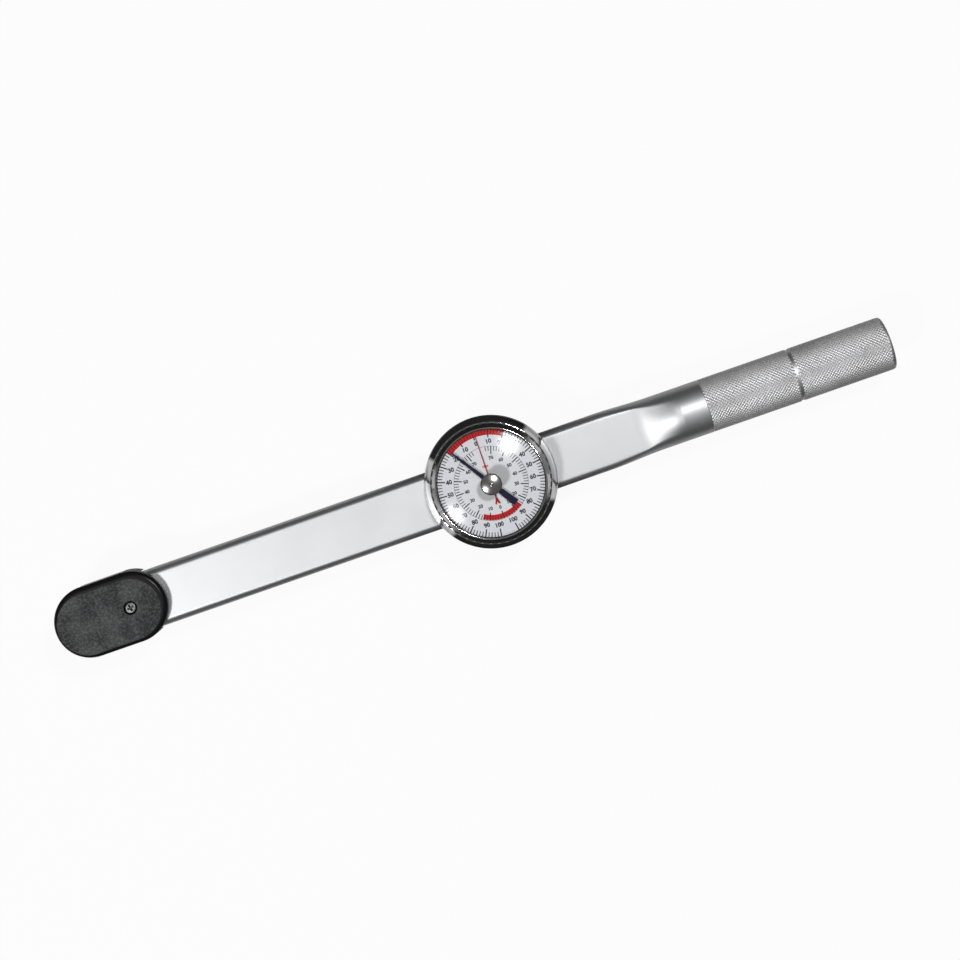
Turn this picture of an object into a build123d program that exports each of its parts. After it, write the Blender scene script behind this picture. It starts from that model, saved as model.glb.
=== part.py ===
from build123d import *
from math import acos, asin, cos, degrees, hypot, pi, radians, sin, sqrt, tan
import os

# A deflecting-beam dial torque wrench for 0 to 100 N.m, with a half-inch square drive.
# +X runs from the drive to the handle and +Z is the dial side. The origin lies on the drive's
# axis, in the shoulder that a socket seats against. All sizes are in millimetres.

# Square drive and its detent ball
drive_square = 12.7
drive_length = 15.5
drive_corner = 1.1
drive_lead_in = 0.8
ball_diameter = 4.8
ball_proud = 0.9
ball_depth = 8.0
ball_hole_depth = 10.4
ball_clearance = 0.05
detent_wire = 0.5
detent_turns = 4

# Drive head: the block with the drive, and the tongue that enters the tube
head_radius = 16.6
head_rise = 1.8
head_straight = 21.0
head_back = 24.5
head_step_width = 27.8
head_foot_fillet = 1.6
tongue_width = 22.0
tongue_length = 27.5
tongue_clearance = 0.35
tongue_edge_fillet = 2.0

# Frame tube, pressed flat in front and left round for the handle
tube_width = 27.6
tube_height = 16.5
tube_corner = 4.0
tube_wall = 2.0
tube_lift = 2.0
tube_gap = 0.6
neck_start = 268.0
neck_blend_length = 7.0
neck_blend_spans = 4
neck_facet_length = 19.0
handle_diameter = 26.0
handle_end = 400.0
handle_rim_fillet = 1.3
grip_mark_position = 353.0
grip_mark_width = 1.2
grip_mark_depth = 0.5

# Pivot between the head and the tube
pivot_x = 32.0
pin_diameter = 8.0
pin_chamfer = 0.4
bush_diameter = 11.0
running_clearance = 0.05
press_clearance = 0.02

# Cap over the head
cap_overhang = 0.4
cap_height = 4.3
cap_wall = 2.4
cap_edge_fillet = 2.4
cap_roof = 2.3
cap_wing_depth = 9.5
cap_wing_gap = 0.7
cap_gap = 0.4
cap_screw_x = 20.4
cap_boss_diameter = 9.4
cap_counterbore = 6.6
cap_counterbore_depth = 2.5

# Pan-head screws: thread diameter, head diameter and head height
cap_thread = 3.0
cap_screw_head = 5.6
cap_screw_head_height = 2.1
cap_screw_length = 9.0
small_thread = 2.0
small_head = 3.8
small_head_height = 1.3
small_screw_length = 3.2
case_thread = 3.0
case_screw_head = 5.5
case_screw_head_height = 1.8
case_screw_length = 4.6
saddle_thread = 3.0
saddle_screw_head = 5.4
saddle_screw_length = 7.5
saddle_screw_half_spacing = 8.2
recess_width = 0.9
recess_depth = 0.9
recess_arm_ratio = 1.7
flat_recess_width_ratio = 0.28
flat_recess_depth_ratio = 0.8
round_end_ratio = 0.45
screw_end_gap = 0.4

# Flexure beam, pinned into the tongue and held sideways by the saddle near the handle
beam_width = 12.9
beam_height = 7.6
beam_lift = 0.8
beam_root_length = 12.0
beam_pin_diameter = 3.0
beam_pin_spacing = 5.5
beam_pin_offset = 3.6
beam_chamfer = 0.5
beam_end_overhang = 4.0
saddle_x = 257.0
saddle_length = 14.0
saddle_clearance = 0.05
saddle_fit = 0.1
saddle_cheek_radius = 8.0
saddle_cheek_relief = 2.0
saddle_floor_gap = 0.4

# Measuring range: the tube turns this far about the pivot at full scale
flex_angle = 1.05
sector_angle = 21.0

# Sensing arm from the tongue to the movement
arm_lift = 14.2
arm_thickness = 1.2
arm_root_width = 8.0
arm_tip_width = 4.6
arm_root_length = 10.0
arm_screw_spacing = 5.0
arm_pin_diameter = 2.0
arm_slot_clearance = 0.12
window_side_gap = 0.6
window_end_gap = 1.4
arm_thread = 2.5
arm_screw_head = 4.6
arm_screw_length = 1.6

# Movement: a toothed sector drives the pinion that carries the pointer
gear_module = 0.4
sector_full_teeth = 96
sector_cut_teeth = 15
pinion_teeth = 12
pressure_angle = 20.0
sector_addendum = 0.27
sector_dedendum = 0.5
pinion_addendum = 0.36
pinion_dedendum = 0.42
tooth_backlash = 0.09
sector_thickness = 1.0
sector_hub = 3.2
sector_rim = 2.2
sector_lift = 1.5
slot_end_gap = 0.4
fan_window_share = 0.62
collar_height = 0.9
collar_step = 0.5
pinion_length = 2.4
pinion_lift = 0.9
arbor_diameter = 2.0
pinion_arbor_diameter = 1.6
arbor_end_gap = 0.3
plate_thickness = 1.2
plate_front = 25.4
plate_rear = 12.5
plate_half_width = 14.5
plate_corner = 4.0
pillar_diameter = 4.0
pillar_height = 4.4
pillar_end_inset = 4.9
pillar_side_inset = 3.5
pillar_rear = 7.0
case_screw_inset = 2.8
case_screw_half_spacing = 6.4
bridge_window_diameter = 10.6
bridge_window_offset = 8.6
hairspring_turns = 4
hairspring_steps = 12
hairspring_inner = 1.9
hairspring_outer = 6.0
hairspring_thickness = 0.16
hairspring_height = 1.0
hairspring_lift = 0.8
stud_diameter = 1.6

# Dial case
dial_x = 200.0
case_overhang = 2.8
case_foot_flare = 0.6
case_foot_height = 1.8
case_foot_land = 1.1
case_floor = 1.5
case_wall = 1.4
case_height = 12.2
case_shoulder_height = 3.2
case_mouth_clearance = 0.36
case_mouth_land = 0.75
case_mouth_depth = 3.6

# Bezel, which turns to set zero and carries the dial and the crystal
bezel_running_gap = 0.3
bezel_wall = 1.5
bezel_skirt_depth = 3.4
bezel_flange_width = 1.0
bezel_flange_height = 0.8
bezel_flange_land = 0.9
bezel_flange_slope = 0.4
bezel_lip_overhang = 0.9
bezel_lip_land = 0.8
bezel_lip_rounding = 0.2
bezel_lip_drop = 0.25
bezel_lip_thickness = 0.65
bezel_height = 3.6
scallops = 46
scallop_radius = 1.5
scallop_depth = 0.5
snap_ring_height = 0.8
snap_ring_bite = 0.5
snap_ring_below = 1.6
snap_ring_clearance = 0.1
snap_ring_split = 3.0

# Crystal, dial and what holds them in the bezel
crystal_thickness = 1.0
crystal_flange = 0.7
crystal_edge_rise = 1.5
crystal_edge_radius = 1.4
crystal_inner_radius = 0.9
crystal_dome = 3.0
crystal_fit = 0.1
gasket_height = 0.2
gasket_width = 1.2
dial_thickness = 0.8
dial_hole_radius = 1.6
retainer_height = 0.8
retainer_width = 1.8

# Pointers and the knob that sets the memory pointer
pointer_lift = 0.3
pointer_thickness = 0.3
pointer_end_gap = 1.3
pointer_tail = 10.2
pointer_width = 0.6
pointer_fletch_length = 3.4
pointer_fletch_width = 2.4
pointer_notch_ratio = 0.4
pointer_hub_diameter = 4.4
arbor_proud = 0.05
memory_gap = 0.35
memory_tip_width = 0.75
memory_tail_width = 3.4
memory_tail = 14.7
memory_hub_diameter = 5.0
memory_hub_rise = 0.8
memory_rest_angle = 33.6
memory_shaft_diameter = 2.4
memory_shaft_lift = 0.1
washer_diameter = 6.5
washer_thickness = 0.3
knob_diameter = 10.2
knob_height = 3.9
knob_rim = 3.0
knob_dimple = 0.7
knob_dimple_lift = 0.3
knob_foot_inset = 0.4
knob_bore_depth = 1.95

# Handle plug
plug_length = 9.0
plug_fit = 0.05
plug_recess = 1.2
plug_hollow = 6.5
plug_chamfer = 0.6

# How far a cutting body passes the faces that it cuts
overcut = 1.0

# Heights above the shoulder that follow from the sizes
tube_top = tube_lift + tube_height
tube_axis = tube_lift + tube_height / 2
bore_bottom = tube_lift + tube_wall
bore_top = tube_top - tube_wall
tube_front = head_back + tube_gap
neck_bend = neck_start + neck_blend_length
neck_end = neck_bend + neck_facet_length
head_height = tube_top + head_rise
cap_radius = head_radius + cap_overhang
cap_top = head_height + cap_height
tongue_bottom = bore_bottom + tongue_clearance
tongue_top = bore_top - tongue_clearance
tongue_end = head_back + tongue_length
beam_bottom = bore_bottom + beam_lift
beam_top = beam_bottom + beam_height
beam_root = tongue_end - beam_root_length
beam_end = saddle_x + saddle_length / 2 + beam_end_overhang
cap_floor = tube_top + cap_gap
floor_top = tube_top + case_floor
plate_top = floor_top + plate_thickness
sector_bottom = plate_top + sector_lift
sector_top = sector_bottom + sector_thickness
pinion_bottom = plate_top + pinion_lift
bridge_bottom = plate_top + pillar_height
bridge_top = bridge_bottom + plate_thickness
spring_bottom = bridge_top + hairspring_lift
spring_top = spring_bottom + hairspring_height
case_top = tube_top + case_height
bezel_seat = case_top + bezel_running_gap
bezel_top = bezel_seat + bezel_height
crystal_seat = bezel_top - bezel_lip_thickness
crystal_bottom = crystal_seat - crystal_flange
dial_top = crystal_bottom - gasket_height
dial_bottom = dial_top - dial_thickness
crystal_crown = crystal_seat + crystal_edge_rise + crystal_dome
pointer_bottom = dial_top + pointer_lift
pointer_top = pointer_bottom + pointer_thickness
memory_bottom = pointer_top + memory_gap
memory_top = memory_bottom + pointer_thickness
washer_bottom = crystal_crown
knob_bottom = washer_bottom + washer_thickness

# Radii about the dial's axis: the movement drops in through the mouth, and the rest follows
mouth_reach = hypot(plate_front - plate_corner, plate_half_width - plate_corner) + plate_corner
case_mouth_radius = mouth_reach + case_mouth_clearance
case_radius = case_mouth_radius + case_overhang
case_foot_radius = case_radius + case_foot_flare
skirt_radius = case_mouth_radius - bezel_running_gap
bezel_bore_radius = skirt_radius - bezel_wall
bezel_flange_radius = skirt_radius + bezel_flange_width
bezel_lip_radius = bezel_bore_radius - bezel_lip_overhang
stack_radius = bezel_bore_radius - crystal_fit
crystal_radius = bezel_lip_radius - crystal_fit
pointer_reach = crystal_radius - crystal_thickness - pointer_end_gap

# Places along the wrench that follow from the gears and the measuring range
sector_radius = gear_module * sector_full_teeth / 2
pinion_radius = gear_module * pinion_teeth / 2
sector_x = dial_x - sector_radius - pinion_radius
lever_share = tan(radians(flex_angle)) / tan(radians(sector_angle))
arm_pin_radius = (sector_x - pivot_x) * lever_share / (1 - lever_share)
arm_pin_x = sector_x + arm_pin_radius
arm_swing = (arm_pin_x - pivot_x) * sin(radians(flex_angle))
arm_top = arm_lift + arm_thickness
arm_pin_top = sector_top + arbor_end_gap
window_half_width = arm_swing + arm_pin_diameter / 2 + window_side_gap


def disc(diameter, bottom, top, x=0.0, y=0.0):
    """An upright cylinder between two heights."""
    return Pos(x, y, (bottom + top) / 2) * Cylinder(diameter / 2, top - bottom)


def block(x_low, x_high, width, bottom, top):
    """A box that lies symmetrically about the wrench's middle plane."""
    return Pos((x_low + x_high) / 2, 0, (bottom + top) / 2) * Box(x_high - x_low, width, top - bottom)


def turned(profile, x=0.0):
    """A body of revolution about an upright axis, from a closed profile of radius and height."""
    outline = Polyline([(radius, 0, height) for radius, height in profile], close=True)
    return Pos(x, 0, 0) * revolve(make_face(outline), Axis.Z, 360)


def raised(outline, bottom, top):
    """A flat outline drawn at height zero, lifted and given its thickness."""
    return Pos(0, 0, bottom) * extrude(make_face(outline), top - bottom)


def stadium(radius, x_low, x_high, bottom, top):
    """A bar with two half-round ends about x_low and x_high."""
    ends = disc(2 * radius, bottom, top, x_low) + disc(2 * radius, bottom, top, x_high)
    return ends + block(x_low, x_high, 2 * radius, bottom, top)


def cross_recess(width, depth, top, x=0.0, y=0.0):
    """The tapering cross that a screwdriver enters, to be cut from a screw's head."""
    reach = recess_arm_ratio * width
    slot = Pos(x, y, top - depth / 2) * Box(2 * reach, width, depth)
    return slot + Pos(x, y, top - depth / 2) * Box(width, 2 * reach, depth)


def pan_screw(thread, head, head_height, length, seat, x, y=0.0):
    """A pan-head screw that points down from its seat, with its cross recess."""
    bolt = disc(thread - 2 * press_clearance, seat - length, seat, x, y)
    cheese = disc(head, seat, seat + head_height, x, y)
    crown = cheese.faces().sort_by(Axis.Z)[-1].edges()
    cheese = fillet(crown, head_height * round_end_ratio)
    return bolt + cheese - cross_recess(recess_width, recess_depth, seat + head_height, x, y)


def flat_screw(thread, head, length, face, x, y=0.0, down=True):
    """A countersunk screw whose head lies flush with the face that it enters."""
    rise = (head - thread) / 2
    bolt = Pos(0, 0, -length / 2) * Cylinder(thread / 2 - press_clearance, length)
    cone = Pos(0, 0, -rise / 2) * Cone(thread / 2 - press_clearance, head / 2 - press_clearance, rise)
    recess = cross_recess(thread * flat_recess_width_ratio, rise * flat_recess_depth_ratio, 0.0)
    screw = bolt + cone - recess
    if not down:
        screw = Rot(180, 0, 0) * screw
    return Pos(x, y, face) * screw


def flat_screw_hole(thread, head, length, face, x, y=0.0, down=True):
    """The hole and countersink for a flat_screw."""
    rise = (head - thread) / 2
    hole = Pos(0, 0, -length / 2) * Cylinder(thread / 2, length)
    hole += Pos(0, 0, -rise / 2) * Cone(thread / 2, head / 2, rise)
    if not down:
        hole = Rot(180, 0, 0) * hole
    return Pos(x, y, face) * hole


def tube_quarter(share, inset):
    """Four points of the tube's outline from the flat's edge to the side's middle, as y and z.

    The outline goes from pressed flat (share 0) to round with two flats (share 1), taken in by inset.
    """
    half_height = tube_height / 2 - inset
    side = tube_width / 2 - inset
    flat_y = tube_width / 2 - tube_corner
    flat_z = tube_height / 2 - tube_corner
    middle = (tube_corner - inset) * sqrt(0.5)
    pressed = [(flat_y, half_height), (flat_y + middle, flat_z + middle), (side, flat_z), (side, 0)]
    radius = handle_diameter / 2 - inset
    upper = asin(half_height / radius)
    lower = asin(flat_z / radius)
    angles = [upper, (upper + lower) / 2, lower, 0]
    rounded = [(radius * cos(angle), radius * sin(angle)) for angle in angles]
    return [
        (y + (round_y - y) * share, z + (round_z - z) * share)
        for (y, z), (round_y, round_z) in zip(pressed, rounded)
    ]


def tube_section(x, share, inset):
    """The tube's outline at x as a face."""
    quarter = tube_quarter(share, inset)
    flat_edge, corner, side_edge, side = [Vector(x, y, z) for y, z in quarter]
    half = [
        Line((x, 0, flat_edge.Z), flat_edge),
        ThreePointArc(flat_edge, corner, side_edge),
    ]
    low_side_edge = Vector(x, side_edge.Y, -side_edge.Z)
    if share > 0:
        half.append(ThreePointArc(side_edge, side, low_side_edge))
    else:
        half.append(Line(side_edge, low_side_edge))
    half += [mirror(edge, Plane.XY) for edge in half[:2]]
    edges = half + [mirror(edge, Plane.XZ) for edge in half]
    return Pos(0, 0, tube_axis) * Face(Wire.combine(edges)[0])


def tube_body(x_front, x_back, inset):
    """The tube's outside, or its bore if inset by the wall, from x_front to x_back."""
    flat = extrude(tube_section(x_front, 0, inset), neck_start - x_front, dir=(1, 0, 0))
    sections = []
    for span in range(neck_blend_spans + 1):
        way = span / neck_blend_spans
        share = way * way * (3 - 2 * way)
        sections.append(tube_section(neck_start + way * neck_blend_length, share, inset))
    return flat + loft(sections) + faceted_round(x_back, inset)


def faceted_round(x_back, inset):
    """The round stretch, cut above and below by the two planes that rise from the pressed flats."""
    radius = handle_diameter / 2 - inset
    low = tube_height / 2 - inset
    slope = (radius - low) / neck_facet_length
    high = radius + overcut
    plane_end = neck_bend + (high - low) / slope
    outline = Polyline(
        [
            (neck_bend, 0, low),
            (plane_end, 0, high),
            (x_back, 0, high),
            (x_back, 0, -high),
            (plane_end, 0, -high),
            (neck_bend, 0, -low),
        ],
        close=True,
    )
    prism = extrude(make_face(outline), high, dir=(0, 1, 0), both=True)
    bar = Pos((neck_bend + x_back) / 2, 0, 0) * Rot(0, 90, 0) * Cylinder(radius, x_back - neck_bend)
    return Pos(0, 0, tube_axis) * (bar & prism)


def frame_tube():
    """The chromed tube, with the window for the movement and the holes for pivot and screws."""
    outside = tube_body(tube_front, handle_end, 0)
    rim = outside.faces().sort_by(Axis.X)[-1].edges()
    outside = fillet(rim, handle_rim_fillet)
    tube = outside - tube_body(tube_front - overcut, handle_end + overcut, tube_wall)
    mark_x = grip_mark_position
    mark = Cylinder(handle_diameter, grip_mark_width) - Cylinder(
        handle_diameter / 2 - grip_mark_depth, grip_mark_width
    )
    tube -= Pos(mark_x, 0, tube_axis) * Rot(0, 90, 0) * mark
    tube -= disc(bush_diameter, tube_lift - overcut, tube_top + overcut, pivot_x)
    tube -= movement_window(bore_top - overcut, tube_top + overcut)
    for x, y in case_screw_places():
        tube -= disc(case_thread, bore_top - overcut, tube_top + overcut, x, y)
    for x, y in saddle_screw_places():
        hole_depth = tube_wall + screw_end_gap
        tube -= flat_screw_hole(saddle_thread, saddle_screw_head, hole_depth, tube_lift, x, y, down=False)
    return tube


def movement_window(bottom, top):
    """The slot through which the sensing arm's pin reaches the movement."""
    half_length = arm_pin_diameter / 2 + window_end_gap
    x_low = arm_pin_x - half_length
    x_high = arm_pin_x + half_length
    return block(x_low, x_high, 2 * window_half_width, bottom, top)


def case_screw_places():
    """Where the four screws pass through plate and case floor into the tube."""
    return [
        (dial_x + x, y)
        for x in (case_screw_inset - plate_front, plate_rear - case_screw_inset)
        for y in (-case_screw_half_spacing, case_screw_half_spacing)
    ]


def pillar_places():
    """Where the four pillars stand on the movement plate."""
    side = plate_half_width - pillar_side_inset
    return [(dial_x + x, y) for x in (pillar_end_inset - plate_front, pillar_rear) for y in (-side, side)]


def saddle_screw_places():
    """Where the two saddle screws enter from the tube's underside."""
    return [(saddle_x, -saddle_screw_half_spacing), (saddle_x, saddle_screw_half_spacing)]


def arm_screw_places():
    """Where the two arm screws enter the tongue."""
    first = tongue_end - arm_root_length / 2 - arm_screw_spacing / 2
    return [first, first + arm_screw_spacing]


def beam_pin_places():
    """Where the two pins pass through the tongue and the beam's root."""
    middle = beam_root + beam_root_length / 2
    half = beam_pin_spacing / 2
    return [(middle - half, beam_pin_offset), (middle + half, -beam_pin_offset)]


def drive_head():
    """The forged head: block, square drive and tongue in one piece."""
    nose = disc(2 * head_radius, 0, head_height) + block(0, head_straight, 2 * head_radius, 0, head_height)
    foot = nose.faces().sort_by(Axis.Z)[0].edges().sort_by(Axis.X)[:-1]
    nose = fillet(foot, head_foot_fillet)
    head = nose + block(head_straight - overcut, head_back, head_step_width, 0, head_height)
    tongue = block(head_back - overcut, tongue_end, tongue_width, tongue_bottom, tongue_top)
    head += fillet(tongue.edges().filter_by(Axis.X), tongue_edge_fillet)
    head += square_drive()
    head -= Pos(0, ball_hole_depth / 2 - drive_square / 2, -ball_depth) * Rot(90, 0, 0) * Cylinder(
        ball_diameter / 2 + ball_clearance, ball_hole_depth
    )
    head -= disc(pin_diameter, tongue_bottom - overcut, tongue_top + overcut, pivot_x)
    head -= block(
        beam_root,
        tongue_end + overcut,
        beam_width + 2 * press_clearance,
        beam_bottom - press_clearance,
        beam_top + press_clearance,
    )
    arm_seat = tongue_end - arm_root_length
    head -= block(arm_seat, tongue_end + overcut, tongue_width + overcut, arm_lift, tongue_top + overcut)
    for x, y in beam_pin_places():
        head -= disc(beam_pin_diameter, tongue_bottom - overcut, beam_top + press_clearance, x, y)
    for x in arm_screw_places():
        head -= disc(arm_thread, arm_lift - arm_screw_length, arm_lift + overcut, x)
    screw_bottom = cap_top - cap_counterbore_depth - cap_screw_length - screw_end_gap
    head -= disc(cap_thread, screw_bottom, head_height + overcut, cap_screw_x)
    return head


def square_drive():
    """The male square below the shoulder, with broken corners and a lead-in at its end."""
    bar = Pos(0, 0, -drive_length / 2) * Box(drive_square, drive_square, drive_length)
    bar = fillet(bar.edges().filter_by(Axis.Z), drive_corner)
    bar = chamfer(bar.faces().sort_by(Axis.Z)[0].edges(), drive_lead_in)
    root = drive_square - 2 * drive_corner
    return bar + Pos(0, 0, overcut / 2) * Box(root, root, overcut)


def detent_ball():
    """The ball that holds a socket on the square."""
    return Pos(0, ball_centre(), -ball_depth) * Sphere(ball_diameter / 2)


def ball_centre():
    """The ball's place along Y."""
    return ball_diameter / 2 - ball_proud - drive_square / 2


def detent_spring():
    """The coil behind the ball, resting on the bottom of its hole."""
    start = ball_centre() + ball_diameter / 2 + detent_wire / 2
    end = ball_hole_depth - drive_square / 2 - detent_wire / 2
    radius = ball_diameter / 2 - detent_wire - ball_clearance
    path = Helix((end - start) / detent_turns, end - start, radius)
    wire = sweep(Plane(path @ 0, z_dir=path % 0) * RegularPolygon(detent_wire / 2, 6), path, is_frenet=True)
    return Pos(0, start, -ball_depth) * Rot(-90, 0, 0) * wire


def head_cap():
    """The moulded cap: a hollow stadium that laps over the tube's end on both sides."""
    cap = stadium(cap_radius, 0, head_straight, head_height, cap_top)
    crown = cap.faces().sort_by(Axis.Z)[-1].edges()
    cap = fillet(crown, cap_edge_fillet)
    inside = cap_radius - cap_wall
    cap -= stadium(inside, 0, head_straight, head_height - overcut, cap_top - cap_roof)
    lap = stadium(cap_radius, 0, head_straight, cap_wing_depth, head_height)
    lap -= stadium(inside, 0, head_straight, cap_floor, head_height)
    lap -= block(-2 * cap_radius, head_straight + cap_gap, 4 * cap_radius, 0, head_height)
    lap -= block(0, 2 * cap_radius + head_straight, tube_width + 2 * cap_wing_gap, 0, cap_floor)
    cap += lap
    cap += disc(cap_boss_diameter, head_height, cap_top - cap_roof, cap_screw_x)
    cap -= disc(cap_counterbore, cap_top - cap_counterbore_depth, cap_top + overcut, cap_screw_x)
    cap -= disc(cap_thread + 4 * press_clearance, head_height - overcut, cap_top, cap_screw_x)
    return cap


def cap_screw():
    """The cross-recessed screw that holds the cap."""
    seat = cap_top - cap_counterbore_depth
    return pan_screw(
        cap_thread, cap_screw_head, cap_screw_head_height, cap_screw_length, seat, cap_screw_x
    )


def pivot_pin():
    """The pin that the tube turns on, pressed into the tongue."""
    pin = disc(pin_diameter - 2 * press_clearance, tube_lift, tube_top, pivot_x)
    ends = pin.edges().filter_by(GeomType.CIRCLE)
    return chamfer(ends, pin_chamfer)


def pivot_bushes():
    """Two bronze bushes in the tube's walls, one above and one below the tongue."""
    inner = pin_diameter + 2 * (running_clearance - press_clearance)
    bushes = []
    for bottom, top in ((tube_lift, bore_bottom), (bore_top, tube_top)):
        ring = disc(bush_diameter - 2 * press_clearance, bottom, top, pivot_x)
        bushes.append(ring - disc(inner, bottom - overcut, top + overcut, pivot_x))
    return Compound(children=bushes)


def flexure_beam():
    """The bar that bends under load, with its edges broken."""
    beam = block(beam_root + press_clearance, beam_end, beam_width, beam_bottom, beam_top)
    beam = chamfer(beam.edges().filter_by(Axis.X), beam_chamfer)
    for x, y in beam_pin_places():
        beam -= disc(beam_pin_diameter, beam_bottom - overcut, beam_top + overcut, x, y)
    return beam


def beam_pins():
    """Two pins that fix the beam's root in the tongue."""
    diameter = beam_pin_diameter - 2 * press_clearance
    return Compound(
        children=[disc(diameter, tongue_bottom, beam_top, x, y) for x, y in beam_pin_places()]
    )


def beam_saddle():
    """The block screwed into the tube, with two round-faced cheeks that hold the beam sideways."""
    width = tube_width - 2 * tube_wall - 2 * saddle_fit
    low = saddle_x - saddle_length / 2
    high = saddle_x + saddle_length / 2
    saddle = block(low, high, width, bore_bottom, bore_top - saddle_fit)
    outline = saddle.edges().filter_by(Axis.X)
    saddle = fillet(outline, tube_corner - tube_wall)
    throat = beam_width / 2 + saddle_clearance
    slot_width = 2 * (throat + saddle_cheek_relief)
    slot_floor = beam_bottom - saddle_floor_gap
    cut = block(low - overcut, high + overcut, slot_width, slot_floor, bore_top + overcut)
    for side in (-1, 1):
        cheek_y = side * (throat + saddle_cheek_radius)
        cut -= disc(2 * saddle_cheek_radius, 0, tube_top, saddle_x, cheek_y)
    saddle -= cut
    for x, y in saddle_screw_places():
        screw_top = tube_lift + saddle_screw_length + screw_end_gap
        saddle -= disc(saddle_thread, bore_bottom - overcut, screw_top, x, y)
    return saddle


def saddle_screws():
    """Two countersunk screws from the underside into the saddle."""
    return Compound(
        children=[
            flat_screw(saddle_thread, saddle_screw_head, saddle_screw_length, tube_lift, x, y, down=False)
            for x, y in saddle_screw_places()
        ]
    )


def sensing_arm():
    """The flat arm that carries the head's movement to the sector."""
    root = tongue_end - arm_root_length + arm_slot_clearance
    tip = arm_pin_x + arm_tip_width / 2
    outline = Polyline(
        [
            (root, -arm_root_width / 2),
            (tongue_end, -arm_root_width / 2),
            (tip, -arm_tip_width / 2),
            (tip, arm_tip_width / 2),
            (tongue_end, arm_root_width / 2),
            (root, arm_root_width / 2),
        ],
        close=True,
    )
    arm = raised(outline, arm_lift, arm_top)
    arm = fillet(arm.edges().filter_by(Axis.Z).group_by(Axis.X)[-1], arm_tip_width * round_end_ratio)
    for x in arm_screw_places():
        arm -= flat_screw_hole(arm_thread, arm_screw_head, arm_thickness + overcut, arm_top, x)
    return arm - disc(arm_pin_diameter, arm_lift - overcut, arm_top + overcut, arm_pin_x)


def arm_screws():
    """Two countersunk screws that hold the arm on the tongue."""
    length = arm_thickness + arm_screw_length - screw_end_gap
    return Compound(
        children=[
            flat_screw(arm_thread, arm_screw_head, length, arm_top, x) for x in arm_screw_places()
        ]
    )


def arm_pin():
    """The upright pin at the arm's tip that turns the sector."""
    return disc(arm_pin_diameter - 2 * press_clearance, arm_lift, arm_pin_top, arm_pin_x)


def handle_plug():
    """The hollow plug that closes the handle's end."""
    outer = handle_diameter / 2 - tube_wall - plug_fit
    rear = handle_end - plug_recess
    plug = Pos(rear - plug_length / 2, 0, tube_axis) * Rot(0, 90, 0) * Cylinder(outer, plug_length)
    plug = chamfer(plug.faces().sort_by(Axis.X)[-1].edges(), plug_chamfer)
    hollow = Cylinder(outer - tube_wall, 2 * plug_hollow)
    return plug - Pos(rear - plug_length, 0, tube_axis) * Rot(0, 90, 0) * hollow


def dial_case():
    """The chromed case: foot, wall, cone shoulder and the mouth that the bezel turns in."""
    shoulder = case_top - case_shoulder_height
    mouth_outer = case_mouth_radius + case_mouth_land
    inner = case_radius - case_wall
    mouth_bottom = case_top - case_mouth_depth
    ring_top = bezel_seat - snap_ring_below
    ring_bottom = ring_top - snap_ring_height
    groove = case_mouth_radius + snap_ring_bite
    profile = [
        (0, tube_top),
        (case_foot_radius, tube_top),
        (case_foot_radius, tube_top + case_foot_land),
        (case_radius, tube_top + case_foot_height),
        (case_radius, shoulder),
        (mouth_outer, case_top),
        (case_mouth_radius, case_top),
        (case_mouth_radius, ring_top + snap_ring_clearance),
        (groove, ring_top + snap_ring_clearance),
        (groove, ring_bottom - snap_ring_clearance),
        (case_mouth_radius, ring_bottom - snap_ring_clearance),
        (case_mouth_radius, mouth_bottom),
        (inner, mouth_bottom - (inner - case_mouth_radius)),
        (inner, floor_top),
        (0, floor_top),
    ]
    case = turned(profile, dial_x)
    case -= movement_window(tube_top - overcut, floor_top + overcut)
    for x, y in case_screw_places():
        case -= disc(case_thread + 4 * press_clearance, tube_top - overcut, floor_top + overcut, x, y)
    return case


def snap_ring():
    """The split spring ring in the case's groove that keeps the bezel down."""
    top = bezel_seat - snap_ring_below
    bottom = top - snap_ring_height
    outer = case_mouth_radius + snap_ring_bite - snap_ring_clearance
    inner = case_mouth_radius - snap_ring_bite - snap_ring_clearance
    ring = turned([(inner, bottom), (outer, bottom), (outer, top), (inner, top)], dial_x)
    split = Box(4 * snap_ring_bite, snap_ring_split, 2 * snap_ring_height)
    return ring - Pos(dial_x - case_mouth_radius, 0, (top + bottom) / 2) * split


def movement_outline(bottom, top):
    """The rounded rectangle shared by the movement's plate and bridge."""
    plate = block(dial_x - plate_front, dial_x + plate_rear, 2 * plate_half_width, bottom, top)
    return fillet(plate.edges().filter_by(Axis.Z), plate_corner)


def movement_plate():
    """The lower brass plate with the bearings of sector and pinion."""
    plate = movement_outline(floor_top, plate_top)
    plate -= movement_window(floor_top - overcut, plate_top + overcut)
    plate -= bearing(arbor_diameter, floor_top, plate_top, sector_x)
    plate -= bearing(pinion_arbor_diameter, floor_top, plate_top, dial_x)
    for x, y in case_screw_places():
        plate -= disc(case_thread + 4 * press_clearance, floor_top - overcut, plate_top + overcut, x, y)
    return plate


def bearing(shaft, bottom, top, x):
    """A bearing hole through a plate, with running clearance round the shaft."""
    return disc(shaft + 2 * running_clearance, bottom - overcut, top + overcut, x)


def movement_bridge():
    """The upper plate, cut out over the sector so that the teeth can be seen."""
    bridge = movement_outline(bridge_bottom, bridge_top)
    bridge -= bearing(arbor_diameter, bridge_bottom, bridge_top, sector_x)
    bridge -= bearing(pinion_arbor_diameter, bridge_bottom, bridge_top, dial_x)
    middle = (sector_x + dial_x) / 2
    low = bridge_bottom - overcut
    high = bridge_top + overcut
    for side in (-1, 1):
        bridge -= disc(bridge_window_diameter, low, high, middle, side * bridge_window_offset)
    for x, y in pillar_places():
        bridge -= disc(small_thread, low, high, x, y)
    return bridge - disc(stud_diameter, low, high, stud_x())


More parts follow.
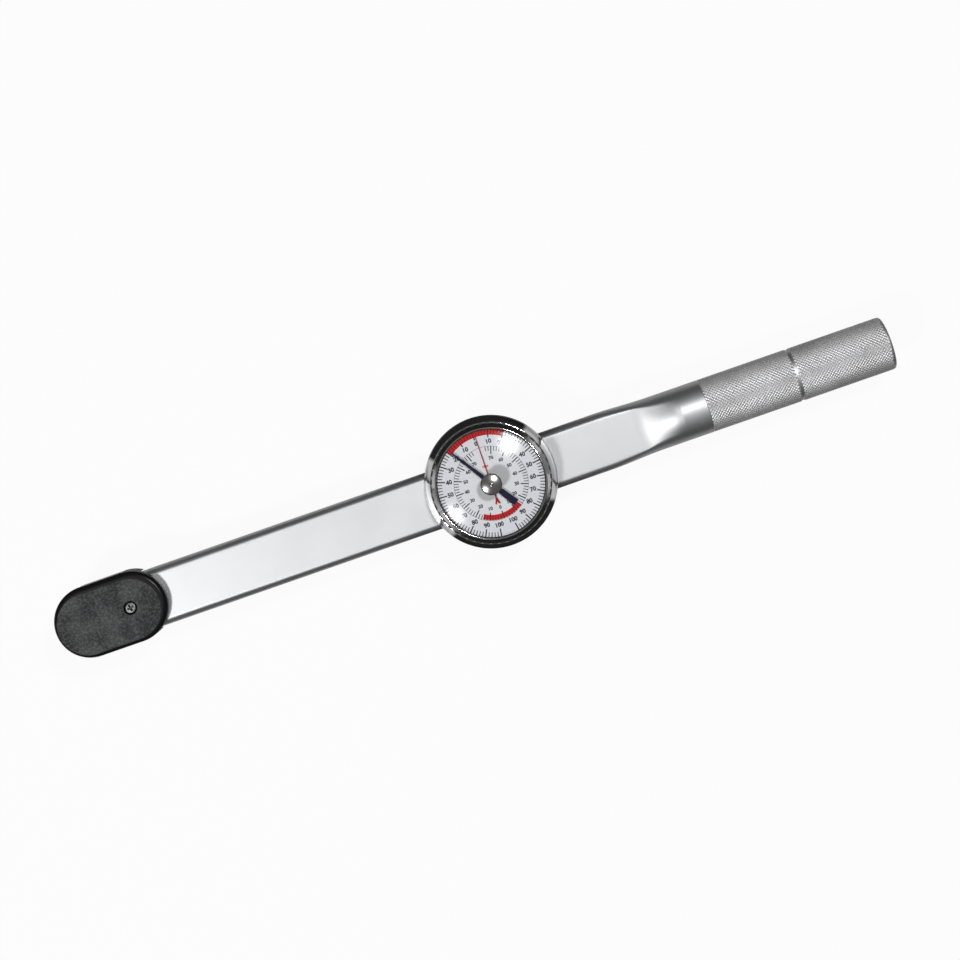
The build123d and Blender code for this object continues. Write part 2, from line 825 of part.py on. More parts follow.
def movement_pillars():
    """Four pillars between plate and bridge, tapped for the bridge screws."""
    pillars = []
    for x, y in pillar_places():
        pillar = disc(pillar_diameter, plate_top, bridge_bottom, x, y)
        thread_bottom = bridge_top - small_screw_length - screw_end_gap
        pillars.append(pillar - disc(small_thread, thread_bottom, bridge_bottom + overcut, x, y))
    return Compound(children=pillars)


def bridge_screws():
    """Four pan-head screws that hold the bridge on its pillars."""
    return Compound(
        children=[
            pan_screw(small_thread, small_head, small_head_height, small_screw_length, bridge_top, x, y)
            for x, y in pillar_places()
        ]
    )


def case_screws():
    """Four pan-head screws through plate and case floor into the tube."""
    return Compound(
        children=[
            pan_screw(
                case_thread, case_screw_head, case_screw_head_height, case_screw_length, plate_top, x, y
            )
            for x, y in case_screw_places()
        ]
    )


def involute(angle):
    """The involute function of a pressure angle in radians."""
    return tan(angle) - angle


def flank(teeth, addendum, dedendum, spans=3):
    """Radius and half tooth angle at points up one flank, from root to tip."""
    pitch = gear_module * teeth / 2
    pressure = radians(pressure_angle)
    base = pitch * cos(pressure)
    at_pitch = pi / (2 * teeth) - tooth_backlash / (4 * pitch)
    root = pitch - dedendum
    tip = pitch + addendum
    low = max(base, root)
    radii = [low + (tip - low) * step / spans for step in range(spans + 1)]
    points = [(root, at_pitch + involute(pressure))] if root < base else []
    for radius in radii:
        points.append((radius, at_pitch + involute(pressure) - involute(acos(base / radius))))
    return points


def tooth_points(teeth, addendum, dedendum, centres):
    """The corner points of a row of teeth, given each tooth's angle in radians."""
    side = flank(teeth, addendum, dedendum)
    points = []
    for centre in centres:
        rising = [(radius, centre - half) for radius, half in side]
        falling = [(radius, centre + half) for radius, half in reversed(side)]
        points += [(radius * cos(angle), radius * sin(angle)) for radius, angle in rising + falling]
    return points


def sector_gear():
    """The toothed sector: hub, fan, rim with teeth, and the slot for the arm's pin."""
    pitch = 2 * pi / sector_full_teeth
    middle = (sector_cut_teeth - 1) / 2
    centres = [(tooth - middle) * pitch for tooth in range(sector_cut_teeth)]
    teeth = tooth_points(sector_full_teeth, sector_addendum, sector_dedendum, centres)
    spread = (middle + 0.5) * pitch
    root = sector_radius - sector_dedendum
    first = (root * cos(spread), -root * sin(spread))
    last = (root * cos(spread), root * sin(spread))
    outline = Polyline([(0, 0), first, *teeth, last], close=True)
    sector = raised(outline, 0, sector_thickness)
    sector += disc(2 * sector_hub, 0, sector_thickness)
    slot_width = arm_pin_diameter + 2 * arm_slot_clearance
    slot_low = arm_pin_radius - slot_end_gap
    slot_high = hypot(arm_pin_radius, arm_swing) + slot_end_gap
    sector -= stadium(slot_width / 2, slot_low, slot_high, -overcut, sector_thickness + overcut)
    inner = slot_high + slot_width
    outer = root - sector_rim
    sector -= fan_window(inner, outer, degrees(spread) * fan_window_share, sector_thickness)
    sector -= disc(arbor_diameter, -overcut, sector_thickness + overcut)
    return Pos(sector_x, 0, sector_bottom) * sector


def fan_window(inner, outer, half_angle, thickness):
    """The lightening window between the slot and the toothed rim."""
    low = CenterArc((0, 0), inner, -half_angle, 2 * half_angle)
    high = CenterArc((0, 0), outer, -half_angle, 2 * half_angle)
    outline = [low, Line(low @ 1, high @ 1), high, Line(high @ 0, low @ 0)]
    return raised(outline, -overcut, thickness + overcut)


def sector_arbor():
    """The sector's shaft, with a collar under the gear."""
    diameter = arbor_diameter - 2 * press_clearance
    shaft = disc(diameter, floor_top + arbor_end_gap, bridge_top, sector_x)
    collar_diameter = 2 * (sector_hub - collar_step)
    collar = disc(collar_diameter, sector_bottom - collar_height, sector_bottom, sector_x)
    return shaft + collar


def pinion():
    """The pinion cut on its arbor, which runs up through the dial to the pointer."""
    centres = [pi + (tooth + 0.5) * 2 * pi / pinion_teeth for tooth in range(pinion_teeth)]
    points = tooth_points(pinion_teeth, pinion_addendum, pinion_dedendum, centres)
    gear = raised(Polyline(points, close=True), pinion_bottom, pinion_bottom + pinion_length)
    arbor = disc(pinion_arbor_diameter, floor_top + arbor_end_gap, pointer_top + arbor_proud)
    return Pos(dial_x, 0, 0) * (gear + arbor)


def hairspring_collet():
    """The brass collet that holds the hairspring on the pinion's arbor."""
    inner = pinion_arbor_diameter / 2 + press_clearance
    outer = hairspring_inner - hairspring_thickness
    profile = [(inner, spring_bottom), (outer, spring_bottom), (outer, spring_top), (inner, spring_top)]
    return turned(profile, dial_x)


def spiral_point(turn, offset=0.0):
    """A point on the hairspring's spiral after so many turns, moved outwards by offset."""
    radius = hairspring_inner + (hairspring_outer - hairspring_inner) * turn / hairspring_turns + offset
    return (radius * cos(2 * pi * turn), radius * sin(2 * pi * turn))


def hairspring():
    """The flat spiral that takes up the play of the teeth."""
    steps = hairspring_turns * hairspring_steps
    turns = [step / hairspring_steps for step in range(steps + 1)]
    half = hairspring_thickness / 2
    outer = [spiral_point(turn, half) for turn in turns]
    inner = [spiral_point(turn, -half) for turn in reversed(turns)]
    strip = raised(Polyline(outer + inner, close=True), spring_bottom, spring_top)
    return Pos(dial_x, 0, 0) * strip


def stud_x():
    """Where the stud stands, beside the hairspring's outer end."""
    return dial_x + hairspring_outer + hairspring_thickness / 2 + stud_diameter / 2


def hairspring_stud():
    """The stud on the bridge that holds the hairspring's outer end."""
    return disc(stud_diameter - 2 * press_clearance, bridge_bottom, spring_top, stud_x())


def bezel_ring():
    """The bezel: skirt in the case's mouth, scalloped flange, slope and lip."""
    ring_top = bezel_seat - snap_ring_below + bezel_running_gap
    ring_bottom = bezel_seat - snap_ring_below - snap_ring_height - bezel_running_gap
    groove = case_mouth_radius - snap_ring_bite - snap_ring_clearance - bezel_running_gap
    land_outer = bezel_lip_radius + bezel_lip_land
    slope_foot = bezel_flange_radius - bezel_flange_land
    profile = [
        (bezel_bore_radius, bezel_seat - bezel_skirt_depth),
        (skirt_radius, bezel_seat - bezel_skirt_depth),
        (skirt_radius, ring_bottom),
        (groove, ring_bottom),
        (groove, ring_top),
        (skirt_radius, ring_top),
        (skirt_radius, bezel_seat),
        (bezel_flange_radius, bezel_seat),
        (bezel_flange_radius, bezel_seat + bezel_flange_height),
        (slope_foot, bezel_seat + bezel_flange_height + bezel_flange_slope),
        (land_outer, bezel_top - bezel_lip_rounding),
        (land_outer - bezel_lip_land / 2, bezel_top),
        (bezel_lip_radius, bezel_top - bezel_lip_drop),
        (bezel_lip_radius, crystal_seat),
        (bezel_bore_radius, crystal_seat),
    ]
    ring = turned(profile)
    cutter_place = bezel_flange_radius + scallop_radius - scallop_depth
    cutter = Pos(cutter_place, 0, bezel_seat) * Cylinder(scallop_radius, 4 * bezel_flange_height)
    for scallop in range(scallops):
        ring -= Rot(0, 0, 360 * scallop / scallops) * cutter
    return Pos(dial_x, 0, 0) * ring


def crystal_face(inset, corner, bottom):
    """Half of the crystal's outer or inner section: raised edge, rounded corner and dome."""
    radius = crystal_radius - inset
    edge_top = crystal_seat + crystal_edge_rise - inset
    crown = crystal_crown - inset
    corner_start = (radius, 0, edge_top - corner)
    corner_end = (radius - corner, 0, edge_top)
    corner_middle = (radius - corner * (1 - sqrt(0.5)), 0, edge_top - corner * (1 - sqrt(0.5)))
    sphere = (corner_end[0] ** 2 + (crown - edge_top) ** 2) / (2 * (crown - edge_top))
    half_x = corner_end[0] / 2
    half_z = crown - sphere + sqrt(sphere**2 - half_x**2)
    edges = [
        Line((0, 0, bottom), (radius, 0, bottom)),
        Line((radius, 0, bottom), corner_start),
        ThreePointArc(corner_start, corner_middle, corner_end),
        ThreePointArc(corner_end, (half_x, 0, half_z), (0, 0, crown)),
        Line((0, 0, crown), (0, 0, bottom)),
    ]
    return Face(Wire(edges))


def crystal():
    """The domed crystal with its flange under the bezel's lip and the knob's bore."""
    dome = revolve(crystal_face(0, crystal_edge_radius, crystal_bottom), Axis.Z, 360)
    dome += disc(2 * stack_radius, crystal_bottom, crystal_seat)
    hollow = crystal_face(crystal_thickness, crystal_inner_radius, crystal_bottom - overcut)
    dome -= revolve(hollow, Axis.Z, 360)
    dome -= disc(memory_shaft_diameter + 2 * running_clearance, crystal_bottom, crystal_crown + overcut)
    return Pos(dial_x, 0, 0) * dome


def stack_ring(width, bottom, top):
    """A flat ring that fits the bezel's bore."""
    inner = stack_radius - width
    profile = [(inner, bottom), (stack_radius, bottom), (stack_radius, top), (inner, top)]
    return turned(profile, dial_x)


def crystal_gasket():
    """The thin seal between the crystal's flange and the dial."""
    return stack_ring(gasket_width, dial_top, crystal_bottom)


def dial_retainer():
    """The ring pressed into the bezel under the dial."""
    return stack_ring(retainer_width, dial_bottom - retainer_height, dial_bottom)


def dial_face():
    """The printed dial with the hole for the pinion's arbor."""
    dial = disc(2 * stack_radius, dial_bottom, dial_top, dial_x)
    return dial - disc(2 * dial_hole_radius, dial_bottom - overcut, dial_top + overcut, dial_x)


def live_pointer():
    """The thin pointer on the pinion's arbor, with its hub and its fletched tail."""
    half = pointer_width / 2
    fletch = pointer_fletch_width / 2
    tail = -pointer_tail
    neck = tail + pointer_fletch_length
    outline = Polyline(
        [
            (half / 2, pointer_reach),
            (-half / 2, pointer_reach),
            (-half, 0),
            (-half, neck),
            (-fletch, tail),
            (0, tail + pointer_fletch_length * pointer_notch_ratio),
            (fletch, tail),
            (half, neck),
            (half, 0),
        ],
        close=True,
    )
    blade = raised(outline, pointer_bottom, pointer_top)
    blade += disc(pointer_hub_diameter, pointer_bottom, pointer_top)
    blade -= disc(pinion_arbor_diameter + 2 * press_clearance, dial_top, memory_bottom)
    return Pos(dial_x, 0, 0) * blade


def memory_pointer():
    """The broad pointer that stays at the highest reading, with a square-cut tail."""
    tip = memory_tip_width / 2
    tail = memory_tail_width / 2
    outline = Polyline(
        [(tip, pointer_reach), (-tip, pointer_reach), (-tail, -memory_tail), (tail, -memory_tail)],
        close=True,
    )
    blade = raised(outline, memory_bottom, memory_top)
    hub_top = memory_top + memory_hub_rise
    blade += disc(memory_hub_diameter, memory_bottom, hub_top)
    blade -= disc(memory_shaft_diameter, memory_bottom - overcut, hub_top + overcut)
    return Pos(dial_x, 0, 0) * Rot(0, 0, memory_rest_angle) * blade


def memory_shaft():
    """The shaft through the crystal that joins knob and memory pointer."""
    diameter = memory_shaft_diameter - 2 * press_clearance
    return disc(diameter, memory_bottom + memory_shaft_lift, knob_bottom + knob_bore_depth, dial_x)


def friction_washer():
    """The washer between crystal and knob that keeps the memory pointer where it is set."""
    ring = disc(washer_diameter, washer_bottom, knob_bottom, dial_x)
    return ring - disc(memory_shaft_diameter, washer_bottom - overcut, knob_bottom + overcut, dial_x)


def memory_knob():
    """The chromed domed knob with a small dimple in its crown."""
    radius = knob_diameter / 2
    rise = knob_height - knob_rim
    sphere = (radius**2 + rise**2) / (2 * rise)
    half_z = knob_height - sphere + sqrt(sphere**2 - (radius / 2) ** 2)
    edges = [
        Line((0, 0, 0), (radius - knob_foot_inset, 0, 0)),
        Line((radius - knob_foot_inset, 0, 0), (radius, 0, knob_rim)),
        ThreePointArc((radius, 0, knob_rim), (radius / 2, 0, half_z), (0, 0, knob_height)),
        Line((0, 0, knob_height), (0, 0, 0)),
    ]
    knob = revolve(Face(Wire(edges)), Axis.Z, 360)
    knob -= Pos(0, 0, knob_height + knob_dimple_lift) * Sphere(knob_dimple)
    knob -= disc(memory_shaft_diameter, -overcut, knob_bore_depth)
    return Pos(dial_x, 0, knob_bottom) * knob


nodes = [
    frame_tube,
    pivot_bushes,
    beam_saddle,
    saddle_screws,
    handle_plug,
    dial_case,
    snap_ring,
    case_screws,
    movement_plate,
    movement_pillars,
    movement_bridge,
    bridge_screws,
    hairspring_stud,
    drive_head,
    pivot_pin,
    head_cap,
    cap_screw,
    flexure_beam,
    beam_pins,
    sensing_arm,
    arm_screws,
    arm_pin,
    detent_spring,
    detent_ball,
    sector_gear,
    sector_arbor,
    pinion,
    hairspring_collet,
    hairspring,
    live_pointer,
    bezel_ring,
    crystal,
    crystal_gasket,
    dial_face,
    dial_retainer,
    memory_pointer,
    memory_shaft,
    friction_washer,
    memory_knob,
]

os.makedirs("parts", exist_ok=True)
for make in nodes:
    export_step(make(), f"parts/{make.__name__}.step")
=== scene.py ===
"""Looks of the dial torque wrench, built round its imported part.

Sizes are millimetres in the part's own frame: +X runs to the handle, +Z is the dial side, and the
origin lies on the square drive's axis in the shoulder plane. Each finished mesh is brought to
metres once, when it becomes a piece.
"""

import logging
import math
from dataclasses import dataclass
from enum import Enum
from typing import Callable, Sequence

import bmesh
import bpy
from mathutils import Matrix, Vector


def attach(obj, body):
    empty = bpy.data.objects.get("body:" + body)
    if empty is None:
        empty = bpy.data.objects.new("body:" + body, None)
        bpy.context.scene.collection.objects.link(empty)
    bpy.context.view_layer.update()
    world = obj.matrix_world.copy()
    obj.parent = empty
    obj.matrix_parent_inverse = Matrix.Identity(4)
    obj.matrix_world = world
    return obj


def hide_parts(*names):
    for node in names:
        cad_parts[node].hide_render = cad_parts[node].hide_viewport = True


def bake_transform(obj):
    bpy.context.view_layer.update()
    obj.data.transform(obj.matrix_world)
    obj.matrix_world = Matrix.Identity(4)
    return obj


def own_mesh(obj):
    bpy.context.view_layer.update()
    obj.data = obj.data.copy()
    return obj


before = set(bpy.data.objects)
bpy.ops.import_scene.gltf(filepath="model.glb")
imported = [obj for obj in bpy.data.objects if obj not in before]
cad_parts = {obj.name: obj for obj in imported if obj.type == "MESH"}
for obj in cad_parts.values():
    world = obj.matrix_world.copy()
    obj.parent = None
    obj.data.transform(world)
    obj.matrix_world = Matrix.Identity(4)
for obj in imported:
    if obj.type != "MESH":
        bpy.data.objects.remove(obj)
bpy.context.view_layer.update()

MM = 0.001
MERGE = 1e-4
PLACE_DIGITS = 5
LEVEL_ANGLE = 0.3
CORNER_STEPS = 8
LETTER_WEIGHT = 0.04
LETTER_STEPS = 3
LOG = logging.getLogger("wrench")

DIAL_X = 200.0
TUBE_AXIS = 10.25
GRIP_START = 308.0
ARM_WINDOW_X = 185.74
ARM_WINDOW_SIZE = (4.8, 8.85, 6.0)

Pair = tuple[float, float]
Triple = tuple[float, float, float]
Outline = list[Pair]
Profile = Sequence[Pair]
Sockets = dict[int | str, object]


class Body(Enum):
    """The moving bodies that dressed pieces ride on."""

    FRAME = "frame"
    HEAD = "head"
    BEZEL = "bezel"
    MEMORY = "memory"


# --- Shader maths ---


def operator(kind: str, swapped: bool = False) -> Callable[["Signal", "Signal | float"], "Signal"]:
    """Returns a method that feeds a signal and another value to one Math node.

    Args:
        kind: The Math node's operation.
        swapped: Whether the other value comes first.

    Returns:
        The method.
    """

    def method(signal: "Signal", other: "Signal | float") -> "Signal":
        """Returns the Math node's result."""
        pair = (other, signal) if swapped else (signal, other)
        return signal.paint.node("ShaderNodeMath", {"operation": kind}, dict(enumerate(pair)))

    return method


class Signal:
    """One socket of a node tree that can be used in arithmetic."""

    __add__, __radd__ = operator("ADD"), operator("ADD", True)
    __sub__, __rsub__ = operator("SUBTRACT"), operator("SUBTRACT", True)
    __mul__, __rmul__ = operator("MULTIPLY"), operator("MULTIPLY", True)
    __truediv__, __pow__ = operator("DIVIDE"), operator("POWER")
    above, below = operator("MAXIMUM"), operator("MINIMUM")

    def __init__(self, paint: "Paint", socket: bpy.types.NodeSocket) -> None:
        """Keeps the socket and the builder of its tree."""
        self.paint = paint
        self.socket = socket

    def ramp(self, low: float, high: float) -> "Signal":
        """Returns 0 below low, 1 above high and a smooth rise between them."""
        settings = {"interpolation_type": "SMOOTHSTEP"}
        return self.paint.node("ShaderNodeMapRange", settings, {0: self, 1: low, 2: high})


class Paint:
    """Builds one node tree, of a material or of the world."""

    def __init__(self, tree: bpy.types.NodeTree) -> None:
        """Starts with an empty tree."""
        self.tree = tree
        tree.nodes.clear()

    def node(
        self,
        kind: str,
        settings: dict[str, object] | None = None,
        inputs: Sockets | None = None,
        output: int | str = 0,
    ) -> Signal:
        """Makes one node, with its settings first and its sockets after.

        Args:
            kind: The node's type.
            settings: Its properties.
            inputs: Values or signals by socket.
            output: The output socket to return.

        Returns:
            The chosen output as a signal.
        """
        made = self.tree.nodes.new(kind)
        for name, value in (settings or {}).items():
            setattr(made, name, value)
        for key, value in (inputs or {}).items():
            if isinstance(value, Signal):
                self.tree.links.new(value.socket, made.inputs[key])
            elif isinstance(value, tuple) and made.inputs[key].type == "RGBA":
                made.inputs[key].default_value = (*value, 1.0)
            else:
                made.inputs[key].default_value = value
        return Signal(self, made.outputs[output] if len(made.outputs) else made.inputs[0])

    def place(self, output: str = "Object") -> Signal:
        """Returns the surface's place in the part's frame, in metres."""
        return self.node("ShaderNodeTexCoord", output=output)

    def axis(self, vector: Signal, index: int) -> Signal:
        """Returns one component of a vector."""
        return self.node("ShaderNodeSeparateXYZ", inputs={0: vector}, output=index)

    def reach(self, centre_x: float) -> Signal:
        """Returns the distance in metres from an upright axis.

        Args:
            centre_x: The axis's place along the wrench, in millimetres.

        Returns:
            The distance.
        """
        place = self.place()
        across, along = self.axis(place, 0) - centre_x * MM, self.axis(place, 1)
        return (across * across + along * along) ** 0.5

    def stretched(self, scale: Triple) -> Signal:
        """Returns object coordinates scaled per axis, so that a pattern runs in one direction."""
        return self.node("ShaderNodeMapping", inputs={"Vector": self.place(), "Scale": scale})

    def noise(self, scale: float, detail: float, vector: Signal | None = None) -> Signal:
        """Returns a noise value between 0 and 1, by features per metre and octaves."""
        inputs = {"Vector": vector or self.place(), "Scale": scale, "Detail": detail}
        return self.node("ShaderNodeTexNoise", inputs=inputs)

    def mixed(self, share: "Signal | float", first: object, second: object) -> Signal:
        """Returns a mix of two colours, which is the first at 0 and the second at 1."""
        settings = {"data_type": "RGBA"}
        return self.node("ShaderNodeMix", settings, {0: share, 6: first, 7: second}, output=2)

    def bump(self, height: Signal, strength: float, depth: float) -> Signal:
        """Returns a normal roughened by a height signal of a depth in millimetres."""
        inputs = {"Strength": strength, "Distance": depth * MM, "Height": height}
        return self.node("ShaderNodeBump", inputs=inputs)


# --- Finishes ---


@dataclass(frozen=True)
class Finish:
    """A surface finish that becomes one material."""

    name: str
    colour: Triple

    def surface(self, paint: Paint) -> Sockets:
        """Returns values and signals by socket; each kind of finish has its own."""
        raise NotImplementedError

    def shader(self, paint: Paint) -> Signal:
        """Returns the finish's shader."""
        return paint.node("ShaderNodeBsdfPrincipled", inputs=self.surface(paint))

    def material(self) -> bpy.types.Material:
        """Returns the finish's material, made on its first use."""
        name = f"{self.name}_finish"
        known = bpy.data.materials.get(name)
        if known is not None:
            return known
        made = bpy.data.materials.new(name)
        made.use_nodes = True
        paint = Paint(made.node_tree)
        paint.node("ShaderNodeOutputMaterial", inputs={"Surface": self.shader(paint)})
        made.diffuse_color = (*self.colour, 1.0)
        return made


@dataclass(frozen=True)
class Metal(Finish):
    """Bare, ground or plated metal: clouded gloss, fine drawn lines and small handling marks."""

    roughness: float
    cloud: float
    line_scale: Triple
    line_size: float
    line_depth: float
    stain: float = 0.06
    cloud_size: float = 55.0
    cloud_edges: Pair = (0.3, 0.75)
    mark_size: float = 260.0
    mark_edges: Pair = (0.6, 0.74)

    def surface(self, paint: Paint) -> Sockets:
        """Returns the metal's sockets.

        Args:
            paint: The tree's builder.

        Returns:
            Values and signals by socket.
        """
        cloud = paint.noise(self.cloud_size, 3.0)
        lines = paint.noise(self.line_size, 2.0, paint.stretched(self.line_scale))
        dark = tuple(part * (1.0 - 2.0 * self.stain) for part in self.colour)
        marks = paint.noise(self.mark_size, 5.0).ramp(*self.mark_edges)
        roughness = self.roughness + self.cloud * (cloud - 0.5) + 0.6 * self.cloud * marks
        return {
            "Base Color": paint.mixed(cloud.ramp(*self.cloud_edges), dark, self.colour),
            "Metallic": 1.0,
            "Roughness": roughness + 0.5 * self.cloud * lines,
            "Normal": paint.bump(lines, 0.5, self.line_depth),
        }


@dataclass(frozen=True)
class RecessedMetal(Metal):
    """A screw's steel with painted shade darkening its cross recess."""

    centre_x: float = 20.4
    recess_radius: float = 2.1
    rim: float = 0.1
    # Painted shade: the heights below which, and the colour to which, the recess darkens.
    recess_shade_levels: Pair = (23.95, 24.08)
    painted_recess_shade_colour: Triple = (0.012, 0.012, 0.012)

    def surface(self, paint: Paint) -> Sockets:
        """Returns the screw's sockets.

        Args:
            paint: The tree's builder.

        Returns:
            Values and signals by socket.
        """
        sockets = super().surface(paint)
        # Painted shade: within the recess's radius and below the head's top the steel turns near
        # black and loses its metal, standing in for the shade down in the cross.
        edge = self.recess_radius * MM
        inside = 1.0 - paint.reach(self.centre_x).ramp(edge, edge + self.rim * MM)
        low = 1.0 - paint.axis(paint.place(), 2).ramp(*(level * MM for level in self.recess_shade_levels))
        painted_recess_shade = inside * low
        sockets["Base Color"] = paint.mixed(painted_recess_shade, sockets["Base Color"], self.painted_recess_shade_colour)
        sockets["Metallic"] = 1.0 - painted_recess_shade
        return sockets


@dataclass(frozen=True)
class Pitted(Finish):
    """A forged and plated surface with shallow pits."""

    roughness: float = 0.28
    pit_size: float = 700.0
    pit_edges: Pair = (0.55, 0.7)
    pit_depth: float = 0.05
    wave_size: float = 120.0
    wave_edges: Pair = (0.35, 0.7)
    wave_shade: float = 0.8

    def surface(self, paint: Paint) -> Sockets:
        """Returns the forging's sockets.

        Args:
            paint: The tree's builder.

        Returns:
            Values and signals by socket.
        """
        pits, waves = paint.noise(self.pit_size, 4.0), paint.noise(self.wave_size, 2.0)
        dark = tuple(part * self.wave_shade for part in self.colour)
        roughness = self.roughness + 0.12 * (waves - 0.5)
        return {
            "Base Color": paint.mixed(waves.ramp(*self.wave_edges), dark, self.colour),
            "Metallic": 1.0,
            "Roughness": roughness + 0.1 * pits.ramp(*self.pit_edges),
            "Normal": paint.bump(0.7 * pits + 0.3 * waves, 0.6, self.pit_depth),
        }


@dataclass(frozen=True)
class Moulded(Finish):
    """Black moulded plastic: a spark-grained flat top above a given height, glossy elsewhere."""

    ends: Pair = (-1.2, 20.0)
    middle: float = -0.8
    matte_radius: float = 14.7
    matte_fade: float = 0.35
    flat_levels: Pair = (24.2, 24.3)
    grain_colour: Triple = (0.024, 0.025, 0.026)
    speck_colour: Triple = (0.105, 0.106, 0.108)
    grain_size: float = 900.0
    grain_edges: Pair = (0.42, 0.66)
    wear_size: float = 90.0
    wear_edges: Pair = (0.4, 0.62)
    depth: float = 0.09
    gloss: float = 0.28
    matte: float = 0.7
    sheen: float = 0.2

    def surface(self, paint: Paint) -> Sockets:
        """Returns the moulding's sockets.

        Args:
            paint: The tree's builder.

        Returns:
            Values and signals by socket.
        """
        place = paint.place()
        x, y = paint.axis(place, 0), paint.axis(place, 1) - self.middle * MM
        past = (x - self.ends[1] * MM).above(0.0) + (x - self.ends[0] * MM).below(0.0)
        reach = (past * past + y * y) ** 0.5
        edge = self.matte_radius * MM
        high = paint.axis(place, 2).ramp(*(level * MM for level in self.flat_levels))
        flat = high * (1.0 - reach.ramp(edge - self.matte_fade * MM, edge))
        grain, worn = paint.noise(self.grain_size, 4.0), paint.noise(self.wear_size, 5.0)
        specks = 0.55 * grain.ramp(*self.grain_edges) + 0.45 * worn.ramp(*self.wear_edges)
        top = paint.mixed(specks, self.grain_colour, self.speck_colour)
        return {
            "Base Color": paint.mixed(flat, self.colour, top),
            "Roughness": self.gloss + (self.matte - self.gloss) * flat + 0.08 * (worn - 0.5),
            "Specular IOR Level": self.sheen,
            "Normal": paint.bump(grain * flat + 0.05 * worn, 0.8, self.depth),
        }


@dataclass(frozen=True)
class Painted(Finish):
    """Paint or print: slightly uneven cover with a soft gloss."""

    roughness: float = 0.2
    unevenness: float = 0.12
    orange_peel: float = 0.004
    cover_size: float = 900.0
    cover_edges: Pair = (0.55, 0.8)
    cloud_size: float = 150.0

    def surface(self, paint: Paint) -> Sockets:
        """Returns the paint's sockets.

        Args:
            paint: The tree's builder.

        Returns:
            Values and signals by socket.
        """
        cover, cloud = paint.noise(self.cover_size, 4.0), paint.noise(self.cloud_size, 2.0)
        thin = tuple(part + (0.5 - part) * self.unevenness for part in self.colour)
        return {
            "Base Color": paint.mixed(cover.ramp(*self.cover_edges), self.colour, thin),
            "Roughness": self.roughness + 0.1 * (cloud - 0.5),
            "Normal": paint.bump(cover, 0.4, self.orange_peel),
        }


@dataclass(frozen=True)
class DialEnamel(Finish):
    """The dial's white ground with a faint tooth, greyed by painted shade towards the bezel."""

    edge_radius: float = 26.0
    rim_shade_colour: Triple = (0.84, 0.845, 0.9)
    tooth_colour: Triple = (0.6, 0.6, 0.66)
    rim_shade_fade: Pair = (0.35, 1.0)
    tooth_size: float = 1400.0
    tooth_depth: float = 0.004
    tooth_share: float = 0.05
    roughness: float = 0.42

    def surface(self, paint: Paint) -> Sockets:
        """Returns the enamel's sockets.

        Args:
            paint: The tree's builder.

        Returns:
            Values and signals by socket.
        """
        tooth = paint.noise(self.tooth_size, 3.0)
        # Painted shade: from about a third of the radius outwards the ground greys towards the
        # rim's colour at the bezel.
        share = (paint.reach(DIAL_X) / (self.edge_radius * MM)).ramp(*self.rim_shade_fade)
        ground = paint.mixed(share, self.colour, self.rim_shade_colour)
        return {
            "Base Color": paint.mixed(self.tooth_share * tooth, ground, self.tooth_colour),
            "Roughness": self.roughness + 0.1 * (tooth - 0.5),
            "Normal": paint.bump(tooth, 0.3, self.tooth_depth),
        }


@dataclass(frozen=True)
class Clear(Finish):
    """Clear moulded acrylic: looked through, with the gloss of its surface."""

    see_through: Triple = (0.985, 0.99, 0.99)
    reflectance: float = 0.039
    roughness: float = 0.14
    haze_size: float = 300.0
    haze_edges: Pair = (0.5, 0.75)
    haze: float = 0.03

    def shader(self, paint: Paint) -> Signal:
        """Returns the crystal's shader, whose gloss grows with the angle of view on both faces.

        Args:
            paint: The tree's builder.

        Returns:
            A mix of see-through and gloss.
        """
        haze = paint.noise(self.haze_size, 4.0).ramp(*self.haze_edges)
        gloss_inputs = {
            "Base Color": self.colour,
            "Metallic": 1.0,
            "Roughness": self.roughness + self.haze * haze,
        }
        gloss = paint.node("ShaderNodeBsdfPrincipled", inputs=gloss_inputs)
        through = paint.node("ShaderNodeBsdfTransparent", inputs={0: self.see_through})
        facing = paint.node("ShaderNodeLayerWeight", output="Facing", inputs={"Blend": 0.5})
        mirrored = self.reflectance + (1.0 - self.reflectance) * facing**5.0
        return paint.node("ShaderNodeMixShader", inputs={0: mirrored, 1: through, 2: gloss})


@dataclass(frozen=True)
class Rubbery(Finish):
    """Soft black rubber or nylon with a dusty, fine-pored surface."""

    roughness: float = 0.75
    dust: float = 0.05
    pore_size: float = 2200.0
    pore_edges: Pair = (0.45, 0.75)
    pore_depth: float = 0.03

    def surface(self, paint: Paint) -> Sockets:
        """Returns the rubber's sockets.

        Args:
            paint: The tree's builder.

        Returns:
            Values and signals by socket.
        """
        pores = paint.noise(self.pore_size, 3.0)
        dusty = tuple(part + self.dust for part in self.colour)
        return {
            "Base Color": paint.mixed(pores.ramp(*self.pore_edges), self.colour, dusty),
            "Roughness": self.roughness + 0.1 * (pores - 0.5),
            "Normal": paint.bump(pores, 0.5, self.pore_depth),
        }


ALONG, TURNED, EVEN = (0.03, 1.0, 1.0), (1.0, 1.0, 0.1), (1.0, 1.0, 1.0)
TUBE_CHROME = Metal("tube_chrome", (0.61, 0.615, 0.625), 0.46, 0.05, ALONG, 700.0, 0.002, 0.02)
GRIP_CHROME = Metal("grip_chrome", (0.84, 0.84, 0.85), 0.55, 0.1, EVEN, 2600.0, 0.01)
CASE_CHROME = Metal("case_chrome", (0.85, 0.85, 0.86), 0.07, 0.03, TURNED, 900.0, 0.001, 0.02)
BEZEL_CHROME = Metal("bezel_chrome", (0.8, 0.79, 0.77), 0.1, 0.05, TURNED, 1500.0, 0.002)
